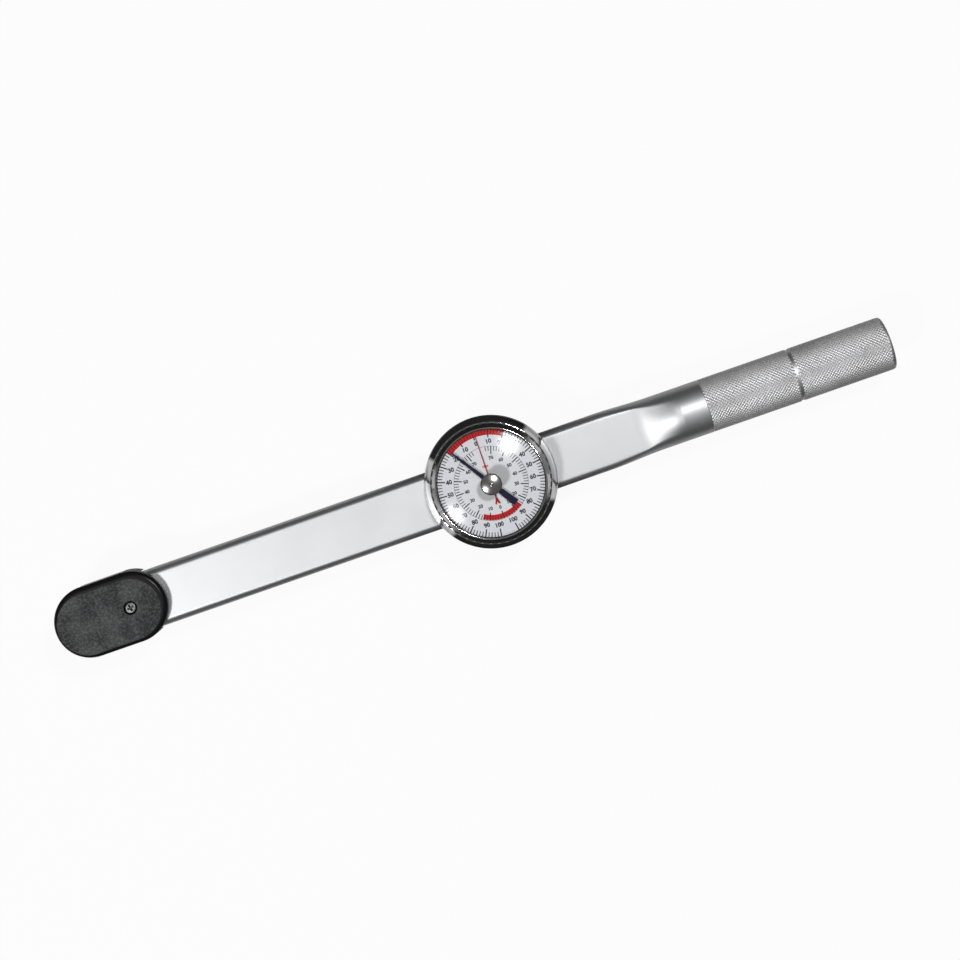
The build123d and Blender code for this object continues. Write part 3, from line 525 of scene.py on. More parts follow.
# The knob's chrome is darkened: painted shade for the dark room that its dome mirrors.
KNOB_DARKENED_CHROME = Metal("knob_chrome_painted_dark", (0.5, 0.485, 0.465), 0.18, 0.04, EVEN, 1500.0, 0.002)
HEAD_FORGING = Pitted("head_forging", (0.66, 0.66, 0.665))
GROUND_STEEL = Metal("ground_steel", (0.62, 0.62, 0.63), 0.28, 0.1, ALONG, 1500.0, 0.006)
SPRING_STEEL = Metal("spring_steel", (0.33, 0.34, 0.38), 0.3, 0.1, ALONG, 1200.0, 0.006)
SCREW_STEEL = Metal("screw_steel", (0.4, 0.4, 0.41), 0.34, 0.1, EVEN, 2200.0, 0.006)
CAP_STEEL = RecessedMetal("cap_screw_steel", (0.2, 0.2, 0.205), 0.42, 0.1, EVEN, 900.0, 0.004)
BRONZE = Metal("sintered_bronze", (0.62, 0.45, 0.25), 0.42, 0.12, EVEN, 2600.0, 0.02)
BRASS = Metal("rolled_brass", (0.78, 0.6, 0.28), 0.3, 0.1, ALONG, 1300.0, 0.005)
COIL_BRONZE = Metal("hairspring_strip", (0.6, 0.42, 0.24), 0.25, 0.08, EVEN, 2500.0, 0.003)
BLACK_MOULDING = Moulded("black_moulding", (0.006, 0.006, 0.007))
DIAL_WHITE = DialEnamel("dial_white", (0.89, 0.89, 0.92))
PRINT_BLACK = Painted("print_black", (0.02, 0.02, 0.024))
PRINT_RED = Painted("print_red", (0.76, 0.008, 0.01), 0.2, 0.03)
POINTER_RED = Painted("pointer_red", (0.42, 0.012, 0.014), 0.2, 0.03)
POINTER_NAVY = Painted("pointer_navy", (0.006, 0.007, 0.035), 0.2, 0.02)
CRYSTAL = Clear("crystal_clear", (0.5, 0.5, 0.5))
RUBBER = Rubbery("gasket_rubber", (0.02, 0.02, 0.02))
NYLON = Rubbery("washer_nylon", (0.1, 0.1, 0.105), 0.6)


# --- Mesh building ---


class Solid:
    """A mesh under construction, in millimetres, that ends as one finished piece."""

    def __init__(self, name: str) -> None:
        """Starts an empty mesh under the finished piece's name."""
        self.name = name
        self.mesh = bmesh.new()

    def turn(
        self,
        profile: Profile,
        steps: int,
        centre_x: float = 0.0,
        closed: bool = True,
        start: float = 0.0,
        sweep: float = 360.0,
    ) -> list[bmesh.types.BMVert]:
        """Spins a profile of radius and height about an upright axis.

        Args:
            profile: Points of radius and height.
            steps: Steps of the spin.
            centre_x: The axis's place along the wrench.
            closed: Whether the profile's last point joins its first.
            start: The first angle, in degrees.
            sweep: The angle spun, in degrees.

        Returns:
            The new vertices.
        """
        before = set(self.mesh.verts)
        points = [self.mesh.verts.new((radius, 0.0, height)) for radius, height in profile]
        ends = points[1:] + points[:1] if closed else points[1:]
        edges = [self.mesh.edges.new(pair) for pair in zip(points, ends)]
        bmesh.ops.rotate(self.mesh, verts=points, matrix=spot(0.0, 0.0, 0.0, start).to_3x3())
        whole = sweep >= 360.0
        if closed and not whole:
            self.mesh.faces.new(points)
        spun = bmesh.ops.spin(
            self.mesh,
            geom=points + edges,
            cent=(0.0, 0.0, 0.0),
            axis=(0.0, 0.0, 1.0),
            angle=math.radians(sweep),
            steps=steps,
            use_merge=whole,
        )
        if closed and not whole:
            self.mesh.faces.new(only(spun["geom_last"], bmesh.types.BMVert))
        made = [vert for vert in self.mesh.verts if vert not in before]
        bmesh.ops.translate(self.mesh, verts=made, vec=(centre_x, 0.0, 0.0))
        return made

    def bar(self, size: Triple, place: Matrix) -> "Solid":
        """Adds a box, as for a printed line.

        Args:
            size: Length, width and height.
            place: Where its middle goes and how it is turned.

        Returns:
            The solid itself.
        """
        matrix = place @ Matrix.Diagonal((*size, 1.0))
        bmesh.ops.create_cube(self.mesh, size=1.0, matrix=matrix)
        return self

    def text(self, words: str, height: float, depth: float, place: Matrix) -> None:
        """Adds raised lettering.

        Args:
            words: What it says.
            height: The font's size.
            depth: Half the lettering's thickness.
            place: Where its middle goes and how it is turned.
        """
        curve = bpy.data.curves.new("lettering", "FONT")
        curve.body, curve.size, curve.extrude = words, height, depth
        curve.offset = height * LETTER_WEIGHT
        curve.resolution_u = LETTER_STEPS
        curve.align_x = curve.align_y = "CENTER"
        holder = linked("lettering", curve)
        bpy.context.view_layer.update()
        shape = bpy.data.meshes.new_from_object(holder)
        shape.transform(place)
        self.mesh.from_mesh(shape)
        bpy.data.objects.remove(holder)
        bpy.data.curves.remove(curve)
        bpy.data.meshes.remove(shape)

    def copy_of(self, node: str) -> "Solid":
        """Starts from a merged copy of a node of the part.

        Args:
            node: The node's name.

        Returns:
            The solid itself.
        """
        mesh = self.mesh
        mesh.from_mesh(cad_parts[node].data)
        bmesh.ops.scale(mesh, verts=mesh.verts, vec=Vector((1 / MM,) * 3))
        bmesh.ops.remove_doubles(mesh, verts=mesh.verts, dist=MERGE)
        level = math.radians(LEVEL_ANGLE)
        bmesh.ops.dissolve_limit(mesh, angle_limit=level, verts=mesh.verts, edges=mesh.edges)
        return self

    def joined(self) -> "Solid":
        """Merges doubles, turns all faces outwards and returns the solid itself."""
        bmesh.ops.remove_doubles(self.mesh, verts=self.mesh.verts, dist=MERGE)
        bmesh.ops.recalc_face_normals(self.mesh, faces=self.mesh.faces)
        return self

    def thing(self) -> bpy.types.Object:
        """Returns the mesh as an object, still in millimetres."""
        data = bpy.data.meshes.new(self.name)
        self.mesh.to_mesh(data)
        self.mesh.free()
        return linked(self.name, data)


def linked(name: str, data: bpy.types.ID) -> bpy.types.Object:
    """Returns a new object of a mesh, a curve, a camera or a lamp, put into the scene.

    Args:
        name: The object's name.
        data: What it shows.

    Returns:
        The object.
    """
    made = bpy.data.objects.new(name, data)
    bpy.context.scene.collection.objects.link(made)
    return made


def only(items: Sequence[object], kind: type) -> list:
    """Returns the items of one kind, such as the vertices of a result."""
    return [item for item in items if isinstance(item, kind)]


def place_of(vert: bmesh.types.BMVert) -> tuple[float, ...]:
    """Returns a vertex's place, rounded so that equal places compare equal."""
    return tuple(round(part, PLACE_DIGITS) for part in vert.co)


def baked(thing: bpy.types.Object) -> None:
    """Applies an object's modifiers to its mesh.

    Args:
        thing: The object.
    """
    bpy.context.view_layer.update()
    shaped = thing.evaluated_get(bpy.context.evaluated_depsgraph_get())
    data = bpy.data.meshes.new_from_object(shaped)
    thing.modifiers.clear()
    thing.data = data


def carved(thing: bpy.types.Object, cutters: Sequence[Solid]) -> bpy.types.Object:
    """Cuts holes and slots into an object.

    Args:
        thing: The object, in millimetres.
        cutters: The solids to take away.

    Returns:
        The object.
    """
    tools = [cutter.joined().thing() for cutter in cutters]
    for tool in tools:
        cut = thing.modifiers.new(tool.name, "BOOLEAN")
        cut.operation = "DIFFERENCE"
        cut.solver = "EXACT"
        cut.object = tool
    baked(thing)
    for tool in tools:
        bpy.data.objects.remove(tool)
    return thing


@dataclass(frozen=True)
class Dress:
    """What a finished piece wears and what it stands for."""

    body: Body
    finish: Finish
    slot: str
    nodes: tuple[str, ...] = ()
    sharp_angle: float = 32.0
    even_shading: bool = True


def dressed(thing: bpy.types.Object, dress: Dress, rides: bool = True) -> bpy.types.Object:
    """Brings an object to metres, gives it its finish and body, and hides the nodes it replaces.

    Args:
        thing: The object, in millimetres.
        dress: What it wears and stands for.
        rides: Whether it rides on one body.

    Returns:
        The finished piece.
    """
    data = thing.data
    data.transform(Matrix.Scale(MM, 4))
    data.materials.clear()
    data.materials.append(dress.finish.material())
    data.polygons.foreach_set("material_index", [0] * len(data.polygons))
    data.polygons.foreach_set("use_smooth", [True] * len(data.polygons))
    data.set_sharp_from_angle(angle=math.radians(dress.sharp_angle))
    data.update()
    if dress.even_shading:
        even = thing.modifiers.new("even_shading", "WEIGHTED_NORMAL")
        even.keep_sharp = True
    if rides:
        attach(thing, dress.body.value)
    if dress.nodes:
        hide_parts(*dress.nodes)
    LOG.info("%s rides on %s, %d faces", thing.name, dress.body.value, len(data.polygons))
    return thing


def arc(centre: Pair, radius: float, start: float, end: float, steps: int) -> Outline:
    """Returns points of an arc in a profile.

    Args:
        centre: Radius and height of its centre.
        radius: Its radius.
        start: Its first angle in degrees, from the outward direction towards up.
        end: Its last angle.
        steps: Its number of chords.

    Returns:
        The points, both ends included.
    """
    angles = [math.radians(start + (end - start) * step / steps) for step in range(steps + 1)]
    return [(centre[0] + radius * math.cos(a), centre[1] + radius * math.sin(a)) for a in angles]


def dome(crown: float, sphere: float, start: float, end: float, steps: int) -> Outline:
    """Returns points of a dome's section.

    Args:
        crown: The height at its middle.
        sphere: The radius of its sphere.
        start: Its first point's distance from the middle.
        end: Its last point's distance.
        steps: Its number of chords.

    Returns:
        Points of radius and height.
    """
    radii = [start + (end - start) * step / steps for step in range(steps + 1)]
    return [(radius, crown - sphere + math.sqrt(sphere**2 - radius**2)) for radius in radii]


def sphere_of(span: float, rise: float) -> float:
    """Returns the radius of the sphere that rises so far over a span from its middle."""
    return (span**2 + rise**2) / (2 * rise)


def spot(x: float, y: float, z: float, turn: float = 0.0) -> Matrix:
    """Returns the matrix of a place, turned about Z by degrees."""
    return Matrix.Translation((x, y, z)) @ Matrix.Rotation(math.radians(turn), 4, "Z")


def arm_window(height: float) -> Solid:
    """Returns the cutter for the window of the arm's pin, with its middle at a height."""
    return Solid("arm_window").bar(ARM_WINDOW_SIZE, spot(ARM_WINDOW_X, 0.0, height))


# --- The wrench's frame ---


@dataclass
class FrameTube:
    """The chromed tube: flat in front, pressed neck, and the round stretch under the grip."""

    start: float = 25.1
    end: float = 398.6
    wall: float = 2.0
    half_width: float = 13.8
    half_height: float = 8.25
    corner: float = 5.2
    edge: float = 2.0
    edge_turn: float = 38.0
    round_radius: float = 13.0
    core_radius: float = 12.6
    crease: float = 0.9
    crease_growth: float = 5.0
    crown_power: float = 1.4
    all_round: float = 0.985
    least_share: float = 0.02
    turn_weight: float = 8.0
    neck_start: float = 256.0
    neck_full: float = 284.0
    bend: float = 275.0
    bend_length: float = 6.0
    neck_tip: float = 294.0
    core_step: float = 0.6
    fine_steps: int = 40
    side_steps: int = 30
    flat_rings: int = 8
    neck_rings: int = 88
    neck_pitch: float = 0.5
    round_ring: float = 303.0
    grip_rings: Pair = (340.0, 370.0)
    pivot_x: float = 32.0
    bush_steps: int = 48
    screw_steps: int = 32
    bush_hole: Profile = ((0.0, 0.0), (5.5, 0.0), (5.5, 20.0), (0.0, 20.0))
    saddle_x: float = 257.0
    saddle_y: float = 8.2
    screw_hole: Profile = ((0.0, 1.0), (3.7, 1.0), (1.5, 3.2), (1.5, 5.0), (0.0, 5.0))
    window_height: float = 18.0

    def flat_quarter(self) -> Outline:
        """Returns a quarter of the pressed section, from the top's middle to the side's middle."""
        turn = 90.0 - self.edge_turn
        across = (self.corner - self.edge) * math.cos(math.radians(turn))
        drop = (self.corner - self.edge) * math.sin(math.radians(turn))
        side, top = self.half_width - self.corner, self.half_height - self.edge - drop
        points = [(0.0, self.half_height)]
        points += arc((side + across, top + drop), self.edge, 90.0, turn, self.fine_steps)
        points += arc((side, top), self.corner, turn, 0.0, self.fine_steps)[1:]
        return self.spaced(points + [(self.half_width, 0.0)])

    def cut_quarter(self, height: float) -> Outline:
        """Returns a quarter of the round section pressed down, with a crown and a soft crease.

        Args:
            height: The top's height above the tube's axis.

        Returns:
            Points from the top's middle to the side's middle.
        """
        steps, middle = self.fine_steps, (0.0, 0.0)
        share = (height - self.half_height) / (self.round_radius - self.half_height)
        if share >= self.all_round:
            return self.spaced(arc(middle, self.round_radius, 90.0, 0.0, 2 * steps))
        crown = self.round_radius / max(share, self.least_share) ** self.crown_power
        crease = self.crease + self.crease_growth * share
        below, room = crown - height, self.round_radius - crease
        level = ((crown - crease) ** 2 - room**2 - below**2) / (2 * below)
        across = math.sqrt(room**2 - level**2)
        leave = math.degrees(math.atan2(level + below, across))
        meet = math.degrees(math.atan2(level, across))
        points = arc((0.0, -below), crown, 90.0, leave, steps)
        points += arc((across, level), crease, leave, meet, steps)[1:]
        return self.spaced(points + arc(middle, self.round_radius, meet, 0.0, steps)[1:])

    def spaced(self, points: Outline) -> Outline:
        """Returns the outline with the section's number of points, closest where it turns.

        Args:
            points: A fine outline.

        Returns:
            The outline's points anew.
        """
        ways, heading = [0.0], 0.0
        for (y, z), (further, lower) in zip(points, points[1:]):
            turned = math.atan2(z - lower, further - y)
            weight = self.turn_weight * abs(turned - heading)
            ways.append(ways[-1] + math.hypot(further - y, lower - z) + weight)
            heading = turned
        found, index = [points[0]], 0
        for step in range(1, self.side_steps):
            aim = ways[-1] * step / self.side_steps
            while ways[index + 1] < aim:
                index += 1
            share = (aim - ways[index]) / (ways[index + 1] - ways[index])
            (y, z), (further, lower) = points[index], points[index + 1]
            found.append((y + (further - y) * share, z + (lower - z) * share))
        return found + [points[-1]]

    def quarter(self, x: float) -> Outline:
        """Returns the quarter section at a place along the tube.

        Args:
            x: The place along the wrench.

        Returns:
            Points from the top's middle to the side's middle.
        """
        if x <= self.neck_start:
            return self.flat_quarter()
        way = min(1.0, (x - self.neck_start) / (self.neck_full - self.neck_start))
        way = way * way * (3 - 2 * way)
        under_grip = x >= GRIP_START + self.core_step
        scale = self.core_radius / self.round_radius if under_grip else 1.0
        cut = self.cut_quarter(min(self.top_height(x), self.round_radius))
        return [
            ((a * (1 - way) + c * way) * scale, (b * (1 - way) + d * way) * scale)
            for (a, b), (c, d) in zip(self.flat_quarter(), cut)
        ]

    def top_height(self, x: float) -> float:
        """Returns the top's height above the axis: level, then rising, with both bends eased.

        Args:
            x: The place along the wrench.

        Returns:
            The height.
        """
        full = self.neck_tip - self.bend
        rise = (self.round_radius - self.half_height) / full
        past = x - self.bend
        return self.half_height + rise * (self.eased(past) - self.eased(past - full))

    def eased(self, past: float) -> float:
        """Returns a length that starts to grow softly around nought.

        Args:
            past: The length past the bend, which can be negative.

        Returns:
            The eased length.
        """
        soft = self.bend_length / 2
        if past <= -soft:
            return 0.0
        return (past + soft) ** 2 / (4 * soft) if past < soft else past

    def ring_points(self, x: float) -> list[Vector]:
        """Returns the whole section at a place along the tube.

        Args:
            x: The place along the wrench.

        Returns:
            The section's points.
        """
        quarter = self.quarter(x)
        half = quarter + [(y, -z) for y, z in reversed(quarter[:-1])]
        whole = half + [(-y, z) for y, z in reversed(half[1:-1])]
        return [Vector((x, y, z + TUBE_AXIS)) for y, z in whole]

    def stations(self) -> list[float]:
        """Returns the places along the tube where the skin has a ring."""
        pitch = (self.neck_start - self.start) / self.flat_rings
        flat = [self.start + pitch * ring for ring in range(self.flat_rings + 1)]
        neck = [self.neck_start + self.neck_pitch * (ring + 1) for ring in range(self.neck_rings)]
        step = [GRIP_START, GRIP_START + self.core_step]
        return [*flat, *neck, self.round_ring, *step, *self.grip_rings, self.end]

    def skin(self) -> Solid:
        """Returns the tube's outside, drawn out ring by ring."""
        solid = Solid("tube_skin")
        first, *others = self.stations()
        points = self.ring_points(first)
        ring = bmesh.ops.create_circle(solid.mesh, segments=len(points), radius=1.0)["verts"]
        for vert, point in zip(ring, points):
            vert.co = point
        edges = list(solid.mesh.edges)
        for x in others:
            grown = bmesh.ops.extrude_edge_only(solid.mesh, edges=edges)["geom"]
            edges = only(grown, bmesh.types.BMEdge)
            ring = self.settled(only(grown, bmesh.types.BMVert), ring, x)
        return solid

    def settled(self, verts: list, ring: list, x: float) -> list[bmesh.types.BMVert]:
        """Moves freshly drawn vertices to their section.

        Args:
            verts: The new vertices, which still lie on the last ring.
            ring: The last ring in order.
            x: The new section's place.

        Returns:
            The new vertices in the last ring's order.
        """
        places = {place_of(vert): index for index, vert in enumerate(ring)}
        order = sorted(verts, key=lambda vert: places[place_of(vert)])
        for vert, point in zip(order, self.ring_points(x)):
            vert.co = point
        return order

    def cutters(self) -> list[Solid]:
        """Returns the holes for bushes and saddle screws and the window for the arm's pin."""
        tools = [arm_window(self.window_height), Solid("bush_hole")]
        tools[1].turn(self.bush_hole, self.bush_steps, self.pivot_x, False)
        for side in (-1, 1):
            sink = Solid("saddle_screw_hole")
            made = sink.turn(self.screw_hole, self.screw_steps, self.saddle_x, False)
            bmesh.ops.translate(sink.mesh, verts=made, vec=(0.0, side * self.saddle_y, 0.0))
            tools.append(sink)
        return tools

    def build(self) -> None:
        """Makes the tube with its wall, holes and window."""
        skin = self.skin().joined().thing()
        wall = skin.modifiers.new("wall", "SOLIDIFY")
        wall.thickness = self.wall
        wall.offset = -1.0
        baked(skin)
        carved(skin, self.cutters())
        dressed(skin, Dress(Body.FRAME, TUBE_CHROME, "polished_tube", ("frame_tube",)))


@dataclass
class KnurledGrip:
    """The diamond-knurled grip with its marking groove and rounded end."""

    end: float = 398.9
    mark: float = 353.0
    half_mark: float = 0.6
    valley: float = 12.76
    crest: float = 13.06
    around: int = 96
    groove: Profile = ((12.5, 0.35), (12.76, 0.5), (12.76, 0.7), (12.4, 1.0))
    rim_radius: float = 12.9
    rim_rounding: float = 1.3
    rim_end: float = 400.0
    rim_bore: Profile = ((11.2, 400.0), (10.9, 399.6), (10.9, 394.0))
    rim_back: Profile = ((12.5, 394.0), (12.5, 398.4), (12.9, 398.7))

    def sleeve(self, solid: Solid, low: float, high: float) -> None:
        """Adds one knurled stretch: a grid rolled round the axis, raised at every other crossing.

        Args:
            solid: The solid that takes it.
            low: Its front end.
            high: Its rear end.
        """
        pitch = 2 * math.pi * self.crest / self.around
        rows = max(2, round((high - low) / pitch))
        before = set(solid.mesh.verts)
        bmesh.ops.create_grid(solid.mesh, x_segments=rows, y_segments=self.around, size=1.0)
        for vert in [vert for vert in solid.mesh.verts if vert not in before]:
            row = round((vert.co.x + 1) / 2 * rows)
            column = round((vert.co.y + 1) / 2 * self.around)
            raised = (row + column) % 2 == 0 and row not in (0, rows)
            radius = self.crest if raised else self.valley
            angle = 2 * math.pi * column / self.around
            x = low + (high - low) * row / rows
            vert.co = (x, radius * math.sin(angle), TUBE_AXIS + radius * math.cos(angle))
        faces = [face for face in solid.mesh.faces if len(face.verts) == 4]
        bmesh.ops.triangulate(solid.mesh, faces=faces, quad_method="SHORT_EDGE")

    def turned_part(self, solid: Solid, profile: Profile) -> None:
        """Adds a smooth ring about the tube's axis.

        Args:
            solid: The solid that takes it.
            profile: Points of radius and place along the wrench.
        """
        made = solid.turn(profile, self.around)
        bmesh.ops.rotate(solid.mesh, verts=made, matrix=Matrix.Rotation(math.pi / 2, 3, "Y"))
        bmesh.ops.translate(solid.mesh, verts=made, vec=(0.0, 0.0, TUBE_AXIS))

    def build(self) -> None:
        """Makes the knurled sleeves, the groove between them, and the rounded rim."""
        knurl, rims = Solid("grip_knurl"), Solid("grip_rims")
        self.sleeve(knurl, GRIP_START, self.mark - self.half_mark)
        self.sleeve(knurl, self.mark + self.half_mark, self.end)
        dress = Dress(Body.FRAME, GRIP_CHROME, "polished_tube", (), 15.0, False)
        dressed(knurl.joined().thing(), dress)
        front = [(radius, self.mark - x) for radius, x in reversed(self.groove)]
        self.turned_part(rims, front + [(radius, self.mark + x) for radius, x in self.groove])
        corner = (self.rim_radius - self.rim_rounding, self.rim_end - self.rim_rounding)
        rounding = arc(corner, self.rim_rounding, 0.0, 90.0, CORNER_STEPS)
        self.turned_part(rims, [*rounding, *self.rim_bore, *self.rim_back])
        dressed(rims.joined().thing(), Dress(Body.FRAME, TUBE_CHROME, "polished_tube"))


@dataclass
class DialCase:
    """The chromed case under the bezel, as points of radius and height of its parts."""

    foot: Profile = ((0.0, 18.5), (31.4, 18.5), (31.6, 18.7), (31.6, 19.4), (31.35, 19.85))
    wall: Profile = ((31.2, 20.25), (31.0, 20.6), (30.6, 24.3), (29.75, 27.5))
    mouth: Profile = ((28.72, 30.4), (28.6, 30.64), (28.48, 30.7), (28.2, 30.7), (28.2, 27.1))
    inside: Profile = ((29.6, 25.7), (29.6, 20.0), (0.0, 20.0))
    steps: int = 160
    window_height: float = 19.0

    def build(self) -> None:
        """Makes the case with its window for the arm's pin."""
        solid = Solid("case_shell")
        profile = [*self.foot, *self.wall, *self.mouth, *self.inside]
        solid.turn(profile, self.steps, DIAL_X, False)
        shell = carved(solid.joined().thing(), [arm_window(self.window_height)])
        dressed(shell, Dress(Body.FRAME, CASE_CHROME, "polished_case", ("dial_case",)))


# --- Head ---


@dataclass
class DriveEnd:
    """The forged head with its cap, screw, pin and the bar that bends in the tube."""

    screw_x: float = 20.4
    screw_seat: float = 22.1
    screw_head: float = 2.8
    screw_height: float = 2.1
    screw_crown: float = 0.9
    screw_shank: float = 1.48
    screw_length: float = 9.0
    screw_turn: float = 14.0
    screw_steps: int = 64
    recess: Triple = (4.1, 1.3, 2.4)
    recess_taper: float = 0.6
    beam_start: float = 52.0
    beam_hold: float = 257.0
    beam_height: float = 8.6
    beam_slices: int = 40
    spring_anchor: Triple = (0.0, 4.05, -8.0)
    spring_keep: float = 0.85

    def beam(self) -> None:
        """Makes the flexure bar between head and frame, sliced along its length."""
        solid = Solid("beam_bar").copy_of("flexure_beam")
        pitch = (self.beam_hold - self.beam_start) / self.beam_slices
        for step in range(1, self.beam_slices):
            x = self.beam_start + pitch * step
            everything = [*solid.mesh.verts, *solid.mesh.edges, *solid.mesh.faces]
            cut = {"plane_co": (x, 0, 0), "plane_no": (1, 0, 0)}
            bmesh.ops.bisect_plane(solid.mesh, geom=everything, **cut)
        dress = Dress(Body.HEAD, SPRING_STEEL, "spring_steel", ("flexure_beam",))
        bar = dressed(solid.thing(), dress, rides=False)
        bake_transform(bar)

    def screw(self) -> None:
        """Makes the cap's pan-head screw with a tapering cross recess."""
        radius, seat, crown = self.screw_head, self.screw_seat, self.screw_crown
        top, tip = seat + self.screw_height, seat - self.screw_length
        profile = [(0.0, tip), (self.screw_shank, tip), (self.screw_shank, seat), (radius, seat)]
        corner = (radius - crown, top - crown)
        profile += arc(corner, crown, 0.0, 90.0, CORNER_STEPS) + [(0.0, top)]
        solid = Solid("cap_screw_turned")
        solid.turn(profile, self.screw_steps, self.screw_x, False)
        cutters = []
        for turn in (self.screw_turn, self.screw_turn + 90.0):
            slot = Solid("recess").bar(self.recess, Matrix())
            for vert in slot.mesh.verts:
                if vert.co.z < 0:
                    vert.co.xy *= self.recess_taper
            place = spot(self.screw_x, 0.0, top, turn)
            bmesh.ops.transform(slot.mesh, matrix=place, verts=slot.mesh.verts)
            cutters.append(slot)
        turned = carved(solid.joined().thing(), cutters)
        dressed(turned, Dress(Body.HEAD, CAP_STEEL, "screw_steel", ("cap_screw",), 40.0))

    def spring(self) -> None:
        """Makes the detent's coil at the part's length, with a mesh of its own."""
        dress = Dress(Body.HEAD, SPRING_STEEL, "spring_steel", ("detent_spring",), 80.0)
        coil = dressed(Solid("detent_coil").copy_of("detent_spring").thing(), dress)
        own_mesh(coil)

    def build(self) -> None:
        """Makes the head's visible pieces."""
        copies = [
            ("head_forged", "drive_head", HEAD_FORGING, "polished_head"),
            ("cap_shell", "head_cap", BLACK_MOULDING, "black_moulding"),
            ("pivot_pin_ground", "pivot_pin", GROUND_STEEL, "bright_steel"),
        ]
        for name, node, finish, slot in copies:
            dressed(Solid(name).copy_of(node).thing(), Dress(Body.HEAD, finish, slot, (node,)))
        self.screw()
        self.beam()
        self.spring()


# --- Dial ---


@dataclass
class BezelRing:
    """The turning bezel, as points of radius and height of its parts, and its scallops."""

    skirt: Profile = ((26.4, 27.6), (27.9, 27.6), (27.9, 28.3))
    groove: Profile = ((27.3, 28.3), (27.3, 29.7), (27.9, 29.7), (27.9, 31.0))
    flange: Profile = ((28.38, 31.0), (28.5, 31.12), (28.5, 31.65), (28.35, 31.8))
    slope: Profile = ((27.82, 32.08), (27.65, 32.3), (26.42, 34.18), (26.3, 34.4), (26.12, 34.55))
    lip: Profile = ((25.9, 34.6), (25.7, 34.54), (25.5, 34.35), (25.5, 33.95), (26.4, 33.95))
    flange_radius: float = 28.5
    flange_levels: Pair = (30.95, 31.85)
    scallops_beyond: float = 28.0
    scallops: int = 46
    steps_per_scallop: int = 8
    cutter_radius: float = 1.5
    cutter_depth: float = 0.5

    def scalloped(self, radius: float, angle: float) -> float:
        """Returns a flange point's radius after the scallops are cut.

        Args:
            radius: The radius before.
            angle: The point's angle in radians.

        Returns:
            The radius after.
        """
        pitch = 2 * math.pi / self.scallops
        offset = (angle + pitch / 2) % pitch - pitch / 2
        centre = self.flange_radius + self.cutter_radius - self.cutter_depth
        reach = centre * math.sin(offset)
        if abs(reach) >= self.cutter_radius:
            return radius
        cut = centre * math.cos(offset) - math.sqrt(self.cutter_radius**2 - reach**2)
        return min(radius, cut + min(0.0, radius - self.flange_radius))

    def build(self) -> None:
        """Makes the bezel."""
        solid = Solid("bezel_scalloped")
        profile = [*self.skirt, *self.groove, *self.flange, *self.slope, *self.lip]
        low, high = self.flange_levels
        for vert in solid.turn(profile, self.scallops * self.steps_per_scallop):
            radius = vert.co.xy.length
            if low < vert.co.z < high and radius > self.scallops_beyond:
                vert.co.xy *= self.scalloped(radius, math.atan2(vert.co.y, vert.co.x)) / radius
        bmesh.ops.translate(solid.mesh, verts=solid.mesh.verts, vec=(DIAL_X, 0.0, 0.0))
        dress = Dress(Body.BEZEL, BEZEL_CHROME, "polished_bezel", ("bezel_ring",), 40.0)
        dressed(solid.joined().thing(), dress)


@dataclass
class CrystalDome:
    """The clear crystal with its flange, rounded edge and low dome."""

    flange: float = 26.3
    bottom: float = 33.25
    seat: float = 33.95
    radius: float = 25.4
    edge_top: float = 35.45
    edge_radius: float = 1.4
    crown: float = 38.45
    thickness: float = 1.0
    inner_drop: float = 0.35
    inner_draft: float = 0.1
    bore: float = 1.25
    steps: int = 128
    dome_steps: int = 20

    def build(self) -> None:
        """Makes the crystal."""
        corner, inner = self.radius - self.edge_radius, self.radius - self.thickness
        sphere = sphere_of(corner, self.crown - self.edge_top)
        profile = [(inner, self.bottom), (self.flange, self.bottom), (self.flange, self.seat)]
        profile += [(self.radius, self.seat)]
        middle = (corner, self.edge_top - self.edge_radius)
        profile += arc(middle, self.edge_radius, 0.0, 90.0, CORNER_STEPS)[:-1]
        outside = dome(self.crown, sphere, corner, self.bore, self.dome_steps)
        profile += outside + [(radius, z - self.thickness) for radius, z in reversed(outside)]
        low = self.edge_top - self.thickness - self.inner_drop
        profile += [(inner - self.inner_draft, low)]
        solid = Solid("crystal_dome")
        solid.turn(profile, self.steps, DIAL_X)
        dress = Dress(Body.BEZEL, CRYSTAL, "crystal", ("crystal",), 40.0)
        dressed(solid.joined().thing(), dress)


@dataclass(frozen=True)
class Scale:
    """One printed scale: its zero, its pitch and the radii and widths of its marks."""

    zero_angle: float
    degrees_per_unit: float
    last: int
    outer: float
    minor_inner: float
    major_inner: float
    number_radius: float
    number_height: float
    band: Pair
    band_units: int
    minor_width: float
    major_width: float


